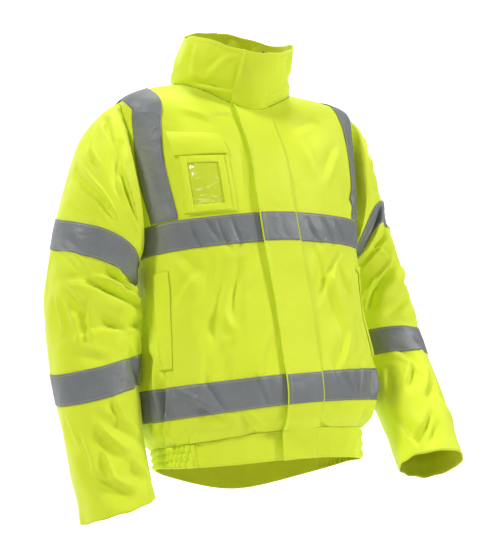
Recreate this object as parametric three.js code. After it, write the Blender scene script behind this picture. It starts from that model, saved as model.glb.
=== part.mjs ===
// High-visibility work jacket, worn on an unseen figure, in millimetres with +Z up.
// The figure faces -Y. X = 0 is the centre front, +X is the wearer's left.
// The origin is the middle of the neck at shoulder height, where the jacket hangs from its wearer.
import * as THREE from "three";

// Cloth thicknesses and clearances
const WALL = 2.0;
const TAPE = 0.9;
const GAP = 0.4;
const TAPE_WIDTH = 50;
const DEG = Math.PI / 180;

// Colours
const YELLOW = 0xdff040;
const SILVER = 0x8b8f90;
const CLEAR = 0xe6ead2;
const DARK = 0x2c2f2a;

// Torso rings from the hem seam (0) to the neck seam (12)
// zSide, zFront, zBack, halfWidth, frontDepth, backDepth, squareness, xMiddle, sideTilt
const TORSO = [
  [-590, -577, -628, 180, 124, 119, 2.4, -12, 0],
  [-570, -558, -602, 201, 138, 132, 2.4, -10.5, 0],
  [-532, -524, -546, 213, 144, 138, 2.4, -7, -0.015],
  [-473, -470, -475, 208, 140, 137, 2.4, -6, -0.015],
  [-385, -385, -385, 198, 131, 132, 2.4, -4, 0],
  [-307, -299, -300, 196, 125, 130, 2.4, -2, 0],
  [-248, -238, -238, 200, 122, 130, 2.4, 0, 0],
  [-192, -182, -179, 207, 118, 129, 2.4, 0, 0],
  [-134, -148, -123, 212, 113, 127, 2.4, 0, 0],
  [-74, -116, -68, 216, 103, 117, 2.4, 0, 0.01],
  [-24, -88, -20, 214, 89, 99, 2.4, -1, 0.02],
  [0, -62, 5, 162, 79, 86, 2.3, -3, 0.035],
  [12, -41, 18, 106, 68, 77, 2.1, -4, 0.05],
];
const NECK = TORSO.length - 1;

// Hem below the seam, in the same columns
const HEM_TOP = [-590.6, -577.6, -628.6, 180, 124, 119, 2.4, -12, 0];
const HEM_BOTTOM = [-634, -625, -677, 177, 120, 117, 2.4, -12.5, 0];
const HEM_TILT_FRONT = 0.02;
const HEM_TILT_BACK = 0.1;
const HEM_FLAT = 160;
const HEM_BACK = 330;
const GATHERS = 16;

// Shift of the front opening towards the wearer's left, at each torso row
const CENTRE_SHIFT = [[18], [18], [18], [17.5], [15.5], [8], [2], [0], [0], [0], [0], [0], [0]];

// Armhole, as rows of the torso and angles in front of and behind the side
const ARMPIT_ROW = 5.55;
const TIP_ROW = 10;
const ARM_FRONT = 8.5 * DEG;
const ARM_BACK = 15 * DEG;
const ARM_STEPS = 12;

// Collar rings above the neck seam, up to the rim
// zSide, zFront, zBack, halfWidth, yFront, yBack, squareness, xMiddle, sideTilt
const COLLAR = [
  [30, -21, 46, 106, -88, 71, 2.1, -8, 0.04],
  [51, 0, 77, 99, -107, 61, 2.1, -9, 0.03],
  [69, 20, 104, 95, -121, 51, 2.1, -7, 0.02],
  [86, 38, 130, 94, -129, 42, 2.1, -3, 0.02],
];

// Sleeve rings after the armhole
// outerX, outerZ, innerX, innerZ, halfDepth, centreY, forwardTilt
const SLEEVE_RIGHT = [
  [238, -34, 201, -281, 68, 4, 0],
  [264, -56, 204, -285, 76, 4, 0],
  [291, -98, 206, -291, 80, 4, 0],
  [312, -156, 208, -298, 79, 6, 2],
  [331, -218, 210, -312, 77, 10, 5],
  [347, -284, 210, -338, 76, 14, 8],
  [356, -350, 212, -374, 74, 17, 12],
  [357, -420, 214, -424, 71, 14, 16],
  [352, -492, 221, -486, 68, 6, 19],
  [346, -560, 224, -551, 65, -4, 19],
  [340, -628, 223, -610, 61, -14, 14],
  [333, -692, 219, -666, 58, -25, 2],
];
const SLEEVE_LEFT = [
  [228, -38, 201, -281, 66, 5, 3],
  [243, -66, 204, -284, 75, 13, 8],
  [259, -110, 206, -288, 79, 27, 12],
  [280, -162, 208, -294, 81, 42, 13],
  [299, -214, 209, -305, 81, 55, 14],
  [322, -270, 210, -325, 79, 62, 14],
  [338, -330, 211, -362, 76, 62, 14],
  [349, -395, 211, -416, 71, 48, 17],
  [341, -462, 215, -478, 67, 18, 21],
  [334, -530, 217, -538, 63, -24, 23],
  [322, -600, 213, -596, 59, -68, 24],
  [312, -667, 205, -650, 56, -108, 24],
];

// Largest folds of the torso: side, q0, z0, q1, z1, halfWidth, depth, bow
// q is measured along the cloth from the centre front, towards the wearer's left
const TORSO_FOLDS = [
  [-66, -300, -92, -412, 16, -5, 8],
  [-128, -385, -104, -428, 14, -3.5, 0],
  [-262, -330, -236, -560, 12, -5, 4],
  [74, -330, 104, -440, 18, -4, -6],
  [205, -470, 168, -548, 12, -4.5, 3],
  [262, -300, 240, -560, 14, -4, -4],
  [-185, -290, -140, -350, 18, 3, 0],
  [176, -292, 136, -356, 18, 3, 0],
  [330, -240, 420, -330, 22, -4, 6],
  [-340, -250, -430, -350, 22, -4, -6],
  [480, -400, 560, -520, 22, -4, 10],
  [-400, -420, -470, -560, 20, -4, -8],
  [470, -120, 500, -210, 20, -3, 0],
];

// Largest folds of the sleeves: angle0, ring0, angle1, ring1, halfWidth in mm, depth, bow
// The angle runs from the outer side (0) to the back (90), the body (180) and the front (270)
const SLEEVE_FOLDS_RIGHT = [
  [352, 5.6, 236, 6.6, 11, -8, -10],
  [305, 5.2, 232, 5.9, 10, -5, 4],
  [330, 6.1, 240, 7.1, 14, 5, -8],
  [318, 2.1, 250, 4.4, 12, -6, 4],
  [292, 4.1, 262, 5.1, 12, -4, 0],
  [300, 8.4, 225, 9.3, 14, -4, 4],
  [330, 9.2, 262, 10.3, 14, -3.5, 4],
  [60, 5.4, 140, 6.6, 14, -6, 6],
  [50, 6.6, 130, 7.6, 14, -5, 4],
  [100, 3.0, 150, 4.6, 14, -5, 0],
  [70, 8.6, 130, 9.6, 14, -4, 0],
];
const SLEEVE_FOLDS_LEFT = [
  [226, 5.4, 318, 4.1, 13, -6, 6],
  [224, 6.0, 326, 5.2, 12, -6, 4],
  [224, 6.5, 318, 6.3, 12, -5, 0],
  [226, 6.9, 306, 7.6, 13, -5, -4],
  [238, 8.2, 300, 8.6, 13, -4, 3],
  [262, 9.4, 330, 9.9, 13, -3.5, 0],
  [60, 5.6, 135, 6.5, 14, -6, 6],
  [55, 6.8, 130, 7.7, 14, -5, 4],
  [100, 3.2, 150, 4.8, 14, -5, 0],
];

// Pieces laid on the fronts, by distance from the centre front and height
const FLAP_Q = [-38, -22, -6.5, 6.5, 19, 31];
const FLAP_LIFT = [3.0, 2.6, 2.2, 2.0, 1.8, 1.6];
const FRONT_Q_RIGHT = [6.5, 22, 38];
const FRONT_Q_LEFT = [6.5, 19, 31];
const FRONT_COLUMNS = 10;
const BACK_COLUMNS = 20;
const WAIST_ROWS = [1.66, 2.17, 2.69];
const CHEST_LOW_ROW = 5.37;
const CHEST_TOP_STEP = 3;

// Small tools
const lerp = (a, b, t) => a + (b - a) * t;
const add = (p, n, d) => [p[0] + n[0] * d, p[1] + n[1] * d, p[2] + n[2] * d];
const sub = (a, b) => [a[0] - b[0], a[1] - b[1], a[2] - b[2]];
const cross = (a, b) => [a[1] * b[2] - a[2] * b[1], a[2] * b[0] - a[0] * b[2], a[0] * b[1] - a[1] * b[0]];
const unit = (a) => {
  const l = Math.hypot(a[0], a[1], a[2]) || 1;
  return [a[0] / l, a[1] / l, a[2] / l];
};

// Smooth value of a table at a fractional row
function spline(table, v) {
  const last = table.length - 1;
  const i = Math.min(Math.max(Math.floor(v), 0), last - 1);
  const t = v - i;
  const p1 = table[i];
  const p2 = table[i + 1];
  const p0 = i > 0 ? table[i - 1] : p1.map((x, k) => 2 * x - p2[k]);
  const p3 = i + 2 <= last ? table[i + 2] : p2.map((x, k) => 2 * x - p1[k]);
  return p1.map((x, k) => {
    const m1 = (p2[k] - p0[k]) / 2;
    const m2 = (p3[k] - x) / 2;
    const d = p2[k] - x;
    return x + t * (m1 + t * (3 * d - 2 * m1 - m2 + t * (m1 + m2 - 2 * d)));
  });
}

// Depth of a set of soft folds at a place (s, h), each a tapering valley or ridge along a bowed line
function foldDepth(folds, s, h) {
  let sum = 0;
  for (const [s0, h0, s1, h1, width, depth, bow] of folds) {
    const ds = s1 - s0;
    const dh = h1 - h0;
    const long = Math.hypot(ds, dh);
    const t = ((s - s0) * ds + (h - h0) * dh) / (long * long);
    if (t <= 0 || t >= 1) continue;
    const across = ((s - s0) * dh - (h - h0) * ds) / long - bow * 4 * t * (1 - t);
    sum += depth * Math.exp(-((across / width) ** 2)) * Math.sin(Math.PI * t) ** 0.7;
  }
  return sum;
}

// A point of a ring that is as squarish as it is told
function ringPoint(row, theta) {
  const [zSide, zFront, zBack, a, front, back, n, xMiddle, sideTilt] = row;
  const s = Math.sin(theta);
  const c = Math.cos(theta);
  const deep = c > 0 ? front : back;
  const r = (Math.abs(s / a) ** n + Math.abs(c / deep) ** n) ** (-1 / n);
  const z = zSide + ((c > 0 ? zFront : zBack) - zSide) * Math.abs(c) ** 1.4;
  return [r * s + xMiddle, -r * c, z - sideTilt * r * s];
}

// Length along the cloth from the centre front, tabled for every quarter row
const ARC_ROWS = [];
const ARC_STEP = 2 * DEG;
for (let v = 0; v <= NECK + 1e-9; v += 0.25) {
  const row = spline(TORSO, v);
  const line = [0];
  let from = ringPoint(row, 0);
  for (let k = 1; k <= 90; k++) {
    const to = ringPoint(row, k * ARC_STEP);
    line.push(line[k - 1] + Math.hypot(...sub(to, from)));
    from = to;
  }
  ARC_ROWS.push(line);
}
function arcLine(v) {
  const f = Math.min(Math.max(v * 4, 0), ARC_ROWS.length - 1.001);
  const i = Math.floor(f);
  return ARC_ROWS[i].map((x, k) => lerp(x, ARC_ROWS[i + 1][k], f - i));
}
function qOf(theta, v) {
  const line = arcLine(v);
  const f = Math.min(Math.abs(theta) / ARC_STEP, 89.999);
  const i = Math.floor(f);
  return Math.sign(theta) * lerp(line[i], line[i + 1], f - i);
}
function thetaOf(q, v) {
  const line = arcLine(v);
  const want = Math.abs(q);
  let i = 0;
  while (i < 89 && line[i + 1] < want) i++;
  return Math.sign(q) * (i + (want - line[i]) / (line[i + 1] - line[i])) * ARC_STEP;
}

const centreShift = (v) => spline(CENTRE_SHIFT, v)[0];

// Surfaces
function torso(theta, v) {
  const wrapped = theta > Math.PI ? theta - 2 * Math.PI : theta;
  const p = ringPoint(spline(TORSO, v), theta);
  const d = foldDepth(TORSO_FOLDS, qOf(wrapped, v), p[2]);
  const out = unit([p[0] / 2, p[1], 0]);
  return add(p, out, d);
}
function collar(theta, v) {
  const base = torso(theta, NECK);
  const rings = COLLAR.map(([zs, zf, zb, a, yf, yb, n, xm, tilt]) => {
    const half = (yb - yf) / 2;
    const p = ringPoint([zs, zf, zb, a, half, half, n, xm, tilt], theta);
    return [p[0], p[1] + (yf + yb) / 2, p[2]];
  });
  const p = spline([[base[0], base[1], base[2] + 0.6], ...rings], v);
  const out = unit([p[0] - 5, p[1] + 20, 0]);
  return add(p, out, 1.2 * Math.sin(3 * theta + 1) * (v / 4));
}
function hem(theta, w) {
  const row = HEM_TOP.map((x, k) => lerp(x, HEM_BOTTOM[k], w));
  const p = ringPoint(row, theta);
  const tilt = lerp(HEM_TILT_FRONT, HEM_TILT_BACK, (1 - Math.cos(theta)) / 2);
  return [p[0], p[1], p[2] - tilt * p[0] * w];
}
function armhole(side, phi) {
  const middle = (TIP_ROW + ARMPIT_ROW) / 2;
  const half = (TIP_ROW - ARMPIT_ROW) / 2;
  const v = middle + half * Math.cos(phi);
  const s = Math.sin(phi);
  const theta = 90 * DEG + s * (s > 0 ? ARM_BACK : ARM_FRONT);
  return [side * theta, v];
}
function armAngle(v, back) {
  const middle = (TIP_ROW + ARMPIT_ROW) / 2;
  const half = (TIP_ROW - ARMPIT_ROW) / 2;
  const t = (v - middle) / half;
  if (Math.abs(t) >= 1) return 90 * DEG;
  const wide = Math.sqrt(1 - t * t);
  return 90 * DEG + (back ? ARM_BACK : -ARM_FRONT) * wide;
}
function sleeveRing(side, row, phi) {
  const [ox, oz, ix, iz, deep, cy, tilt] = row;
  const c = Math.cos(phi);
  const s = Math.sin(phi);
  const r = (Math.abs(c) ** 2.15 + Math.abs(s) ** 2.15) ** (-1 / 2.15);
  const u = r * c;
  const w = r * s * deep;
  const x = (ox + ix) / 2 + (u * (ox - ix)) / 2;
  const z = (oz + iz) / 2 + (u * (oz - iz)) / 2 - w * Math.sin(tilt * DEG);
  return [side * x, cy + w * Math.cos(tilt * DEG), z];
}
function sleeve(side, phi, t) {
  const table = side > 0 ? SLEEVE_LEFT : SLEEVE_RIGHT;
  const folds = side > 0 ? SLEEVE_FOLDS_LEFT : SLEEVE_FOLDS_RIGHT;
  const [theta, v] = armhole(side, phi);
  const start = torso(theta, v);
  const seam = add(start, torsoNormal(theta, v), 0.5);
  const points = [seam, ...table.map((row) => sleeveRing(side, row, phi))];
  const p = spline(points, t);
  let degrees = phi / DEG;
  while (degrees < 0) degrees += 360;
  while (degrees >= 360) degrees -= 360;
  const ring = spline([table[0], ...table], t);
  const radius = (ring[4] + (ring[0] - ring[2]) / 2) / 2;
  const d = foldDepth(
    folds.map(([a0, t0, a1, t1, ...rest]) => [a0 * DEG * radius, t0 * 60, a1 * DEG * radius, t1 * 60, ...rest]),
    degrees * DEG * radius,
    t * 60,
  );
  const middle = [side * ((ring[0] + ring[2]) / 2), ring[5], (ring[1] + ring[3]) / 2];
  const out = unit(sub(p, middle));
  return add(p, out, d * Math.min(1, t));
}

// Outward directions, from small steps
function torsoNormal(theta, v) {
  const h = 0.01;
  const v0 = Math.max(v - 0.04, 0);
  const v1 = Math.min(v + 0.04, NECK);
  return unit(cross(sub(torso(theta + h, v), torso(theta - h, v)), sub(torso(theta, v1), torso(theta, v0))));
}
function gridNormals(grid, wrap) {
  const rows = grid.length;
  const cols = grid[0].length;
  return grid.map((line, i) => line.map((p, j) => {
    const up = grid[Math.min(i + 1, rows - 1)][j];
    const down = grid[Math.max(i - 1, 0)][j];
    const right = wrap ? line[(j + 1) % cols] : line[Math.min(j + 1, cols - 1)];
    const left = wrap ? line[(j + cols - 1) % cols] : line[Math.max(j - 1, 0)];
    return unit(cross(sub(right, left), sub(up, down)));
  }));
}
function offset(grid, normals, d) {
  return grid.map((line, i) => line.map((p, j) => add(p, normals[i][j], Array.isArray(d) ? d[j] : d)));
}

// Closed bodies between two matching grids of points
const group = new THREE.Group();
group.name = "hi_vis_jacket";
function mesh(name, positions, index, colour, roughness) {
  let volume = 0;
  for (let k = 0; k < index.length; k += 3) {
    const [a, b, c] = [index[k], index[k + 1], index[k + 2]].map((i) => positions[i]);
    const n = cross(sub(b, a), sub(c, a));
    volume += a[0] * n[0] + a[1] * n[1] + a[2] * n[2];
  }
  const order = volume < 0 ? index.slice().reverse() : index;
  const geometry = new THREE.BufferGeometry();
  geometry.setAttribute("position", new THREE.Float32BufferAttribute(positions.flat(), 3));
  geometry.setIndex(order);
  geometry.computeVertexNormals();
  const material = new THREE.MeshStandardMaterial({ color: colour, roughness, metalness: 0 });
  material.name = name;
  const body = new THREE.Mesh(geometry, material);
  body.name = name;
  group.add(body);
}
function slab(name, outer, inner, wrap, colour, roughness = 0.85) {
  const rows = outer.length;
  const cols = outer[0].length;
  const positions = [...outer.flat(), ...inner.flat()];
  const index = [];
  const at = (i, j, side) => side * rows * cols + i * cols + (j % cols);
  const quad = (a, b, c, d) => index.push(a, b, c, a, c, d);
  const across = wrap ? cols : cols - 1;
  for (let i = 0; i < rows - 1; i++) {
    for (let j = 0; j < across; j++) {
      quad(at(i, j, 0), at(i, j + 1, 0), at(i + 1, j + 1, 0), at(i + 1, j, 0));
      index.push(at(i, j, 1), at(i + 1, j + 1, 1), at(i, j + 1, 1));
      index.push(at(i, j, 1), at(i + 1, j, 1), at(i + 1, j + 1, 1));
    }
  }
  for (let j = 0; j < across; j++) {
    quad(at(0, j, 1), at(0, j + 1, 1), at(0, j + 1, 0), at(0, j, 0));
    quad(at(rows - 1, j, 0), at(rows - 1, j + 1, 0), at(rows - 1, j + 1, 1), at(rows - 1, j, 1));
  }
  if (!wrap) {
    for (let i = 0; i < rows - 1; i++) {
      quad(at(i, 0, 0), at(i + 1, 0, 0), at(i + 1, 0, 1), at(i, 0, 1));
      quad(at(i, cols - 1, 1), at(i + 1, cols - 1, 1), at(i + 1, cols - 1, 0), at(i, cols - 1, 0));
    }
  }
  mesh(name, positions, index, colour, roughness);
}

// Rows of the torso panels, with the armhole rows spaced as the sleeve needs them
const ARM_ROWS = [];
for (let k = 0; k <= ARM_STEPS; k++) ARM_ROWS.push(armhole(1, Math.PI - (k * Math.PI) / ARM_STEPS)[1]);
const ROWS = [
  0, 0.4, 0.8, 1.2, ...WAIST_ROWS, 3.2, 3.75, 4.35, 4.9, CHEST_LOW_ROW,
  ...ARM_ROWS, 10.4, 10.9, 11.45, NECK,
];
const rowIndex = (v) => ROWS.findIndex((x) => Math.abs(x - v) < 1e-9);
const CHEST_ROWS = [rowIndex(CHEST_LOW_ROW), rowIndex(ARM_ROWS[CHEST_TOP_STEP])];
const WAIST_INDEX = [rowIndex(WAIST_ROWS[0]), rowIndex(WAIST_ROWS[2])];
const SEAM = 0.25;

// Columns of a front panel at one row, as angles from the centre outwards
function frontAngles(v, side) {
  const shift = side * centreShift(v);
  const near = (side > 0 ? FRONT_Q_LEFT : FRONT_Q_RIGHT).map((q) => q + shift);
  const limit = armAngle(v, false);
  const q1 = qOf(limit, v) - SEAM;
  const q0 = near[near.length - 1];
  const angles = near.map((q) => thetaOf(q, v));
  for (let j = 1; j <= FRONT_COLUMNS; j++) angles.push(thetaOf(lerp(q0, q1, j / FRONT_COLUMNS), v));
  return angles;
}
function frontGrid(side) {
  return ROWS.map((v) => {
    const angles = frontAngles(v, side).map((a) => side * a);
    if (side < 0) angles.reverse();
    return angles.map((a) => ({ theta: a, v, p: torso(a, v) }));
  });
}
function backGrid() {
  return ROWS.map((v) => {
    const limit = armAngle(v, true);
    const q0 = qOf(limit, v) + SEAM;
    const q1 = 2 * qOf(179.99 * DEG, v) - q0;
    const line = [];
    for (let j = 0; j <= BACK_COLUMNS; j++) {
      const q = lerp(q0, q1, j / BACK_COLUMNS);
      const middle = (q0 + q1) / 2;
      const theta = q <= middle ? thetaOf(q, v) : 2 * Math.PI - thetaOf(2 * middle - q, v);
      line.push({ theta, v, p: torso(theta, v) });
    }
    return line;
  });
}
const PANELS = { right: frontGrid(-1), left: frontGrid(1), back: backGrid() };
const POINTS = {};
const NORMALS = {};
for (const [key, grid] of Object.entries(PANELS)) {
  POINTS[key] = grid.map((line) => line.map((c) => c.p));
  NORMALS[key] = gridNormals(POINTS[key], false);
  grid.forEach((line, i) => {
    for (const j of [0, line.length - 1]) {
      if (key === "back" || j === (key === "left" ? line.length - 1 : 0)) {
        NORMALS[key][i][j] = torsoNormal(line[j].theta, line[j].v);
      }
    }
  });
}
slab("front_right", POINTS.right, offset(POINTS.right, NORMALS.right, -WALL), false, YELLOW);
slab("front_left", POINTS.left, offset(POINTS.left, NORMALS.left, -WALL), false, YELLOW);
slab("back", POINTS.back, offset(POINTS.back, NORMALS.back, -WALL), false, YELLOW);

// Reflective tapes that follow rows of a panel
function panelTape(name, key, rows, cols) {
  const pick = (grid) => grid.slice(rows[0], rows[1] + 1).map((line) => line.slice(cols[0], cols[1] + 1));
  const p = pick(POINTS[key]);
  const n = pick(NORMALS[key]);
  slab(name, offset(p, n, GAP + TAPE), offset(p, n, GAP), false, SILVER, 0.5);
}
const LAST = PANELS.left[0].length - 1;
panelTape("chest_tape_right", "right", CHEST_ROWS, [1, LAST - 1]);
panelTape("chest_tape_left", "left", CHEST_ROWS, [2, LAST - 1]);
panelTape("chest_tape_back", "back", CHEST_ROWS, [1, BACK_COLUMNS - 1]);
panelTape("waist_tape_right", "right", WAIST_INDEX, [0, LAST - 1]);
panelTape("waist_tape_left", "left", WAIST_INDEX, [2, LAST]);
panelTape("waist_tape_back", "back", WAIST_INDEX, [0, BACK_COLUMNS]);

// A place on the flat facets of a panel, so that what lies there stays clear of it
function onPanel(key, theta, v) {
  const grid = PANELS[key];
  let i = 0;
  while (i < ROWS.length - 2 && ROWS[i + 1] <= v) i++;
  const t = Math.min(Math.max((v - ROWS[i]) / (ROWS[i + 1] - ROWS[i]), 0), 1);
  const angle = (j) => lerp(grid[i][j].theta, grid[i + 1][j].theta, t);
  const cols = grid[0].length;
  let j = 0;
  while (j < cols - 2 && angle(j + 1) <= theta) j++;
  const s = Math.min(Math.max((theta - angle(j)) / (angle(j + 1) - angle(j)), 0), 1);
  const mix = (g) => {
    const [a, b, c, d] = [g[i][j], g[i][j + 1], g[i + 1][j + 1], g[i + 1][j]];
    return a.map((x, k) => (s >= t
      ? x + (b[k] - x) * s + (c[k] - b[k]) * t
      : x + (c[k] - d[k]) * s + (d[k] - x) * t));
  };
  return { p: mix(POINTS[key]), n: unit(mix(NORMALS[key])) };
}
function onTorso(theta, v) {
  const a = Math.abs(theta);
  if (a > 90 * DEG) return onPanel("back", theta > 0 ? theta : 2 * Math.PI + theta, v);
  return onPanel(theta > 0 ? "left" : "right", theta, v);
}

// A band laid along a path of (theta, v) places, as wide as it is told
function ribbon(name, path, steps, width, across, lift, thick, colour, roughness) {
  const places = [];
  for (let k = 0; k <= steps; k++) places.push(spline(path, (k / steps) * (path.length - 1)));
  const outer = [];
  const inner = [];
  places.forEach(([theta, v], k) => {
    const before = places[Math.max(k - 1, 0)];
    const after = places[Math.min(k + 1, steps)];
    const along = unit(sub(torso(...after), torso(...before)));
    const across1 = unit(cross(torsoNormal(theta, v), along));
    const lineOut = [];
    const lineIn = [];
    for (let j = 0; j <= across; j++) {
      let [a, b] = [theta, v];
      const want = (j / across - 0.5) * width;
      const parts = 6;
      for (let m = 0; m < parts; m++) {
        const here = torso(a, b);
        const da = sub(torso(a + 0.01, b), here).map((x) => x * 100);
        const db = sub(torso(a, b + 0.01), here).map((x) => x * 100);
        const step = across1.map((x) => (x * want) / parts);
        const aa = da[0] * da[0] + da[1] * da[1] + da[2] * da[2];
        const bb = db[0] * db[0] + db[1] * db[1] + db[2] * db[2];
        const ab = da[0] * db[0] + da[1] * db[1] + da[2] * db[2];
        const ra = da[0] * step[0] + da[1] * step[1] + da[2] * step[2];
        const rb = db[0] * step[0] + db[1] * step[1] + db[2] * step[2];
        const det = aa * bb - ab * ab;
        a += (ra * bb - rb * ab) / det;
        b += (rb * aa - ra * ab) / det;
      }
      if (k === 0 || k === steps) b = CHEST_TOP + 0.05;
      const { p, n } = onTorso(a, b);
      const high = lift + 3.3 * Math.exp(-(((k / steps - 0.5) * 4.6) ** 2));
      lineOut.push(add(p, n, high + thick));
      lineIn.push(add(p, n, high));
    }
    outer.push(lineOut);
    inner.push(lineIn);
  });
  slab(name, outer, inner, false, colour, roughness);
}
const CHEST_TOP = ARM_ROWS[CHEST_TOP_STEP];
for (const [name, side] of [["brace_tape_right", -1], ["brace_tape_left", 1]]) {
  const path = [
    [thetaOf(193, CHEST_TOP), CHEST_TOP + 0.12],
    [thetaOf(201, 7.2), 7.2],
    [thetaOf(206, 8.2), 8.2],
    [thetaOf(205, 9.15), 9.15],
    [75 * DEG, 10.01],
    [90 * DEG, 10.56],
    [107.5 * DEG, 10.06],
    [119 * DEG, 9.15],
    [123 * DEG, 8.2],
    [124 * DEG, 7.2],
    [124 * DEG, CHEST_TOP + 0.12],
  ].map(([a, v]) => [side * a, v]);
  ribbon(name, path, 30, TAPE_WIDTH, 5, 0.95, TAPE, SILVER, 0.5);
}

// Rectangles on a front panel, by distance from the centre and by row
function patch(name, side, quad, cols, rows, lift, thick, colour, roughness) {
  const outer = [];
  const inner = [];
  for (let i = 0; i <= rows; i++) {
    const lineOut = [];
    const lineIn = [];
    for (let j = 0; j <= cols; j++) {
      const s = j / cols;
      const t = i / rows;
      const q = lerp(lerp(quad[0][0], quad[1][0], s), lerp(quad[3][0], quad[2][0], s), t);
      const z = lerp(lerp(quad[0][1], quad[1][1], s), lerp(quad[3][1], quad[2][1], s), t);
      const v = rowAtHeight(side * q, z);
      const { p, n } = onTorso(side * thetaOf(q, v), v);
      lineOut.push(add(p, n, lift + thick));
      lineIn.push(add(p, n, lift));
    }
    outer.push(lineOut);
    inner.push(lineIn);
  }
  slab(name, outer, inner, false, colour, roughness);
}
function rowAtHeight(q, z) {
  let low = 0;
  let high = NECK;
  for (let k = 0; k < 30; k++) {
    const v = (low + high) / 2;
    if (ringPoint(spline(TORSO, v), thetaOf(q, v))[2] < z) low = v;
    else high = v;
  }
  return (low + high) / 2;
}

// Chest pocket for a pass card on the wearer's right, its clear window and its flap
patch("card_pocket", -1, [[71, -223], [158, -223], [164, -112], [76, -112]], 6, 5, 0.9, 1.0, YELLOW, 0.85);
patch("card_window", -1, [[88, -216], [147, -218], [149, -138], [92, -140]], 5, 4, 2.4, 0.6, CLEAR, 0.2);
patch("pocket_flap", -1, [[75, -128], [166, -128], [174, -86], [84, -92]], 7, 3, 2.7, 1.6, YELLOW, 0.85);

// Welted hand pockets
for (const [name, side] of [["welt_right", -1], ["welt_left", 1]]) {
  patch(name, side, [[199, -468], [227, -468], [223, -312], [190, -312]], 3, 9, 1.2, 1.8, YELLOW, 0.85);
}

// Collar, open at the centre front
const COLLAR_DEPTH = [[68], [79.5], [84], [86], [85.5]];
const collarAngle = (q, v) => Math.atan(q / spline(COLLAR_DEPTH, v)[0]);
function collarAngles(v) {
  const right = [38, 22, 6.5].map((q) => 2 * Math.PI - collarAngle(q, v));
  const left = [6.5, 19, 31].map((q) => collarAngle(q, v));
  const between = [];
  const steps = 25;
  for (let k = 1; k < steps; k++) between.push(lerp(left[2], right[0], k / steps));
  return [...left, ...between, ...right];
}
const COLLAR_ROWS = [0, 0.7, 1.5, 2.4, 3.2, 4];
const collarGrid = COLLAR_ROWS.map((v) => collarAngles(v).map((a) => collar(a, v)));
const collarNormals = gridNormals(collarGrid, false);
slab("collar", collarGrid, offset(collarGrid, collarNormals, -2.6), false, YELLOW);

// Hem: flat bands at the front, gathered elastic at the sides, a flat band along the dropped back
function hemPiece(name, q0, q1, cols, rows, wave, colour) {
  const outer = [];
  const half = (name.endsWith("back")) ? 1 : 0;
  for (let i = 0; i <= rows; i++) {
    const w = 1 - i / rows;
    const line = [];
    for (let j = 0; j <= cols; j++) {
      const q = lerp(q0, q1, j / cols);
      const end = qOf(179.99 * DEG, 0);
      const theta = Math.abs(q) <= end ? thetaOf(q, 0) : 2 * Math.PI - thetaOf(2 * end - q, 0);
      const p = hem(theta, w);
      const n = unit([p[0] / 2.5, p[1], 0]);
      const fade = half ? 0 : Math.min(1, j / 3, (cols - j) / 3);
      const puff = wave ? Math.abs(Math.sin(Math.PI * 2 * w)) : 0;
      const ripple = wave ? Math.cos((Math.PI * 2 * GATHERS * j) / cols) : 0;
      line.push(add(p, n, wave * fade * (0.6 * puff + ripple * (0.5 + 0.5 * puff))));
    }
    outer.push(line);
  }
  const normals = gridNormals(outer, false);
  slab(name, outer, offset(outer, normals, -WALL), false, colour);
}
const HALF_HEM = qOf(179.99 * DEG, 0);
const HEM_CENTRE = centreShift(0);
hemPiece("hem_band_right", -HEM_FLAT, HEM_CENTRE - 6.5, 10, 3, 0, YELLOW);
hemPiece("hem_band_left", HEM_CENTRE + 6.5, HEM_FLAT, 10, 3, 0, YELLOW);
hemPiece("hem_elastic_right", -HEM_BACK, -HEM_FLAT - 0.5, GATHERS * 2, 4, 2.4, YELLOW);
hemPiece("hem_elastic_left", HEM_FLAT + 0.5, HEM_BACK, GATHERS * 2, 4, 2.4, YELLOW);
hemPiece("hem_band_back", HEM_BACK + 0.5, 2 * HALF_HEM - HEM_BACK - 0.5, 18, 3, 0, YELLOW);

// Zip strip between the fronts, from the hem to the collar rim
function centreLine(lift, qs, skipHem) {
  const rows = [];
  const normals = [];
  const hemRows = skipHem ? [] : [1, 0.5, 0.06];
  for (const w of hemRows) rows.push(qs.map((q) => hem(thetaOf(q + HEM_CENTRE, 0), w)));
  for (const v of ROWS) rows.push(qs.map((q) => torso(thetaOf(q + centreShift(v), v), v)));
  for (const v of COLLAR_ROWS.slice(1)) rows.push(qs.map((q) => collar(collarAngle(q, v), v)));
  const n = gridNormals(rows, false);
  rows.forEach((line, i) => normals.push(line.map((p, j) => n[i][j])));
  return { rows, normals: n };
}
const zipLine = centreLine(0, [-6.1, 6.1], false);
slab("zip", offset(zipLine.rows, zipLine.normals, -0.2), offset(zipLine.rows, zipLine.normals, -1.6), false, DARK, 0.6);

// Storm flap over the zip, sewn to the wearer's left front
const flapLine = centreLine(0, FLAP_Q, false);
const flapOuter = offset(flapLine.rows, flapLine.normals, FLAP_LIFT.map((x) => x + WALL));
const flapInner = offset(flapLine.rows, flapLine.normals, FLAP_LIFT);
slab("storm_flap", flapOuter, flapInner, false, YELLOW);
const hemCount = 3;
for (const [name, rows] of [["chest_tape_flap", CHEST_ROWS], ["waist_tape_flap", WAIST_INDEX]]) {
  const pick = (lift) => flapLine.rows
    .slice(hemCount + rows[0], hemCount + rows[1] + 1)
    .map((line, i) => line.map((p, j) => add(p, flapLine.normals[hemCount + rows[0] + i][j],
      FLAP_LIFT[j] + WALL + lift)));
  slab(name, pick(GAP + TAPE), pick(GAP), false, SILVER, 0.5);
}

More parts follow.
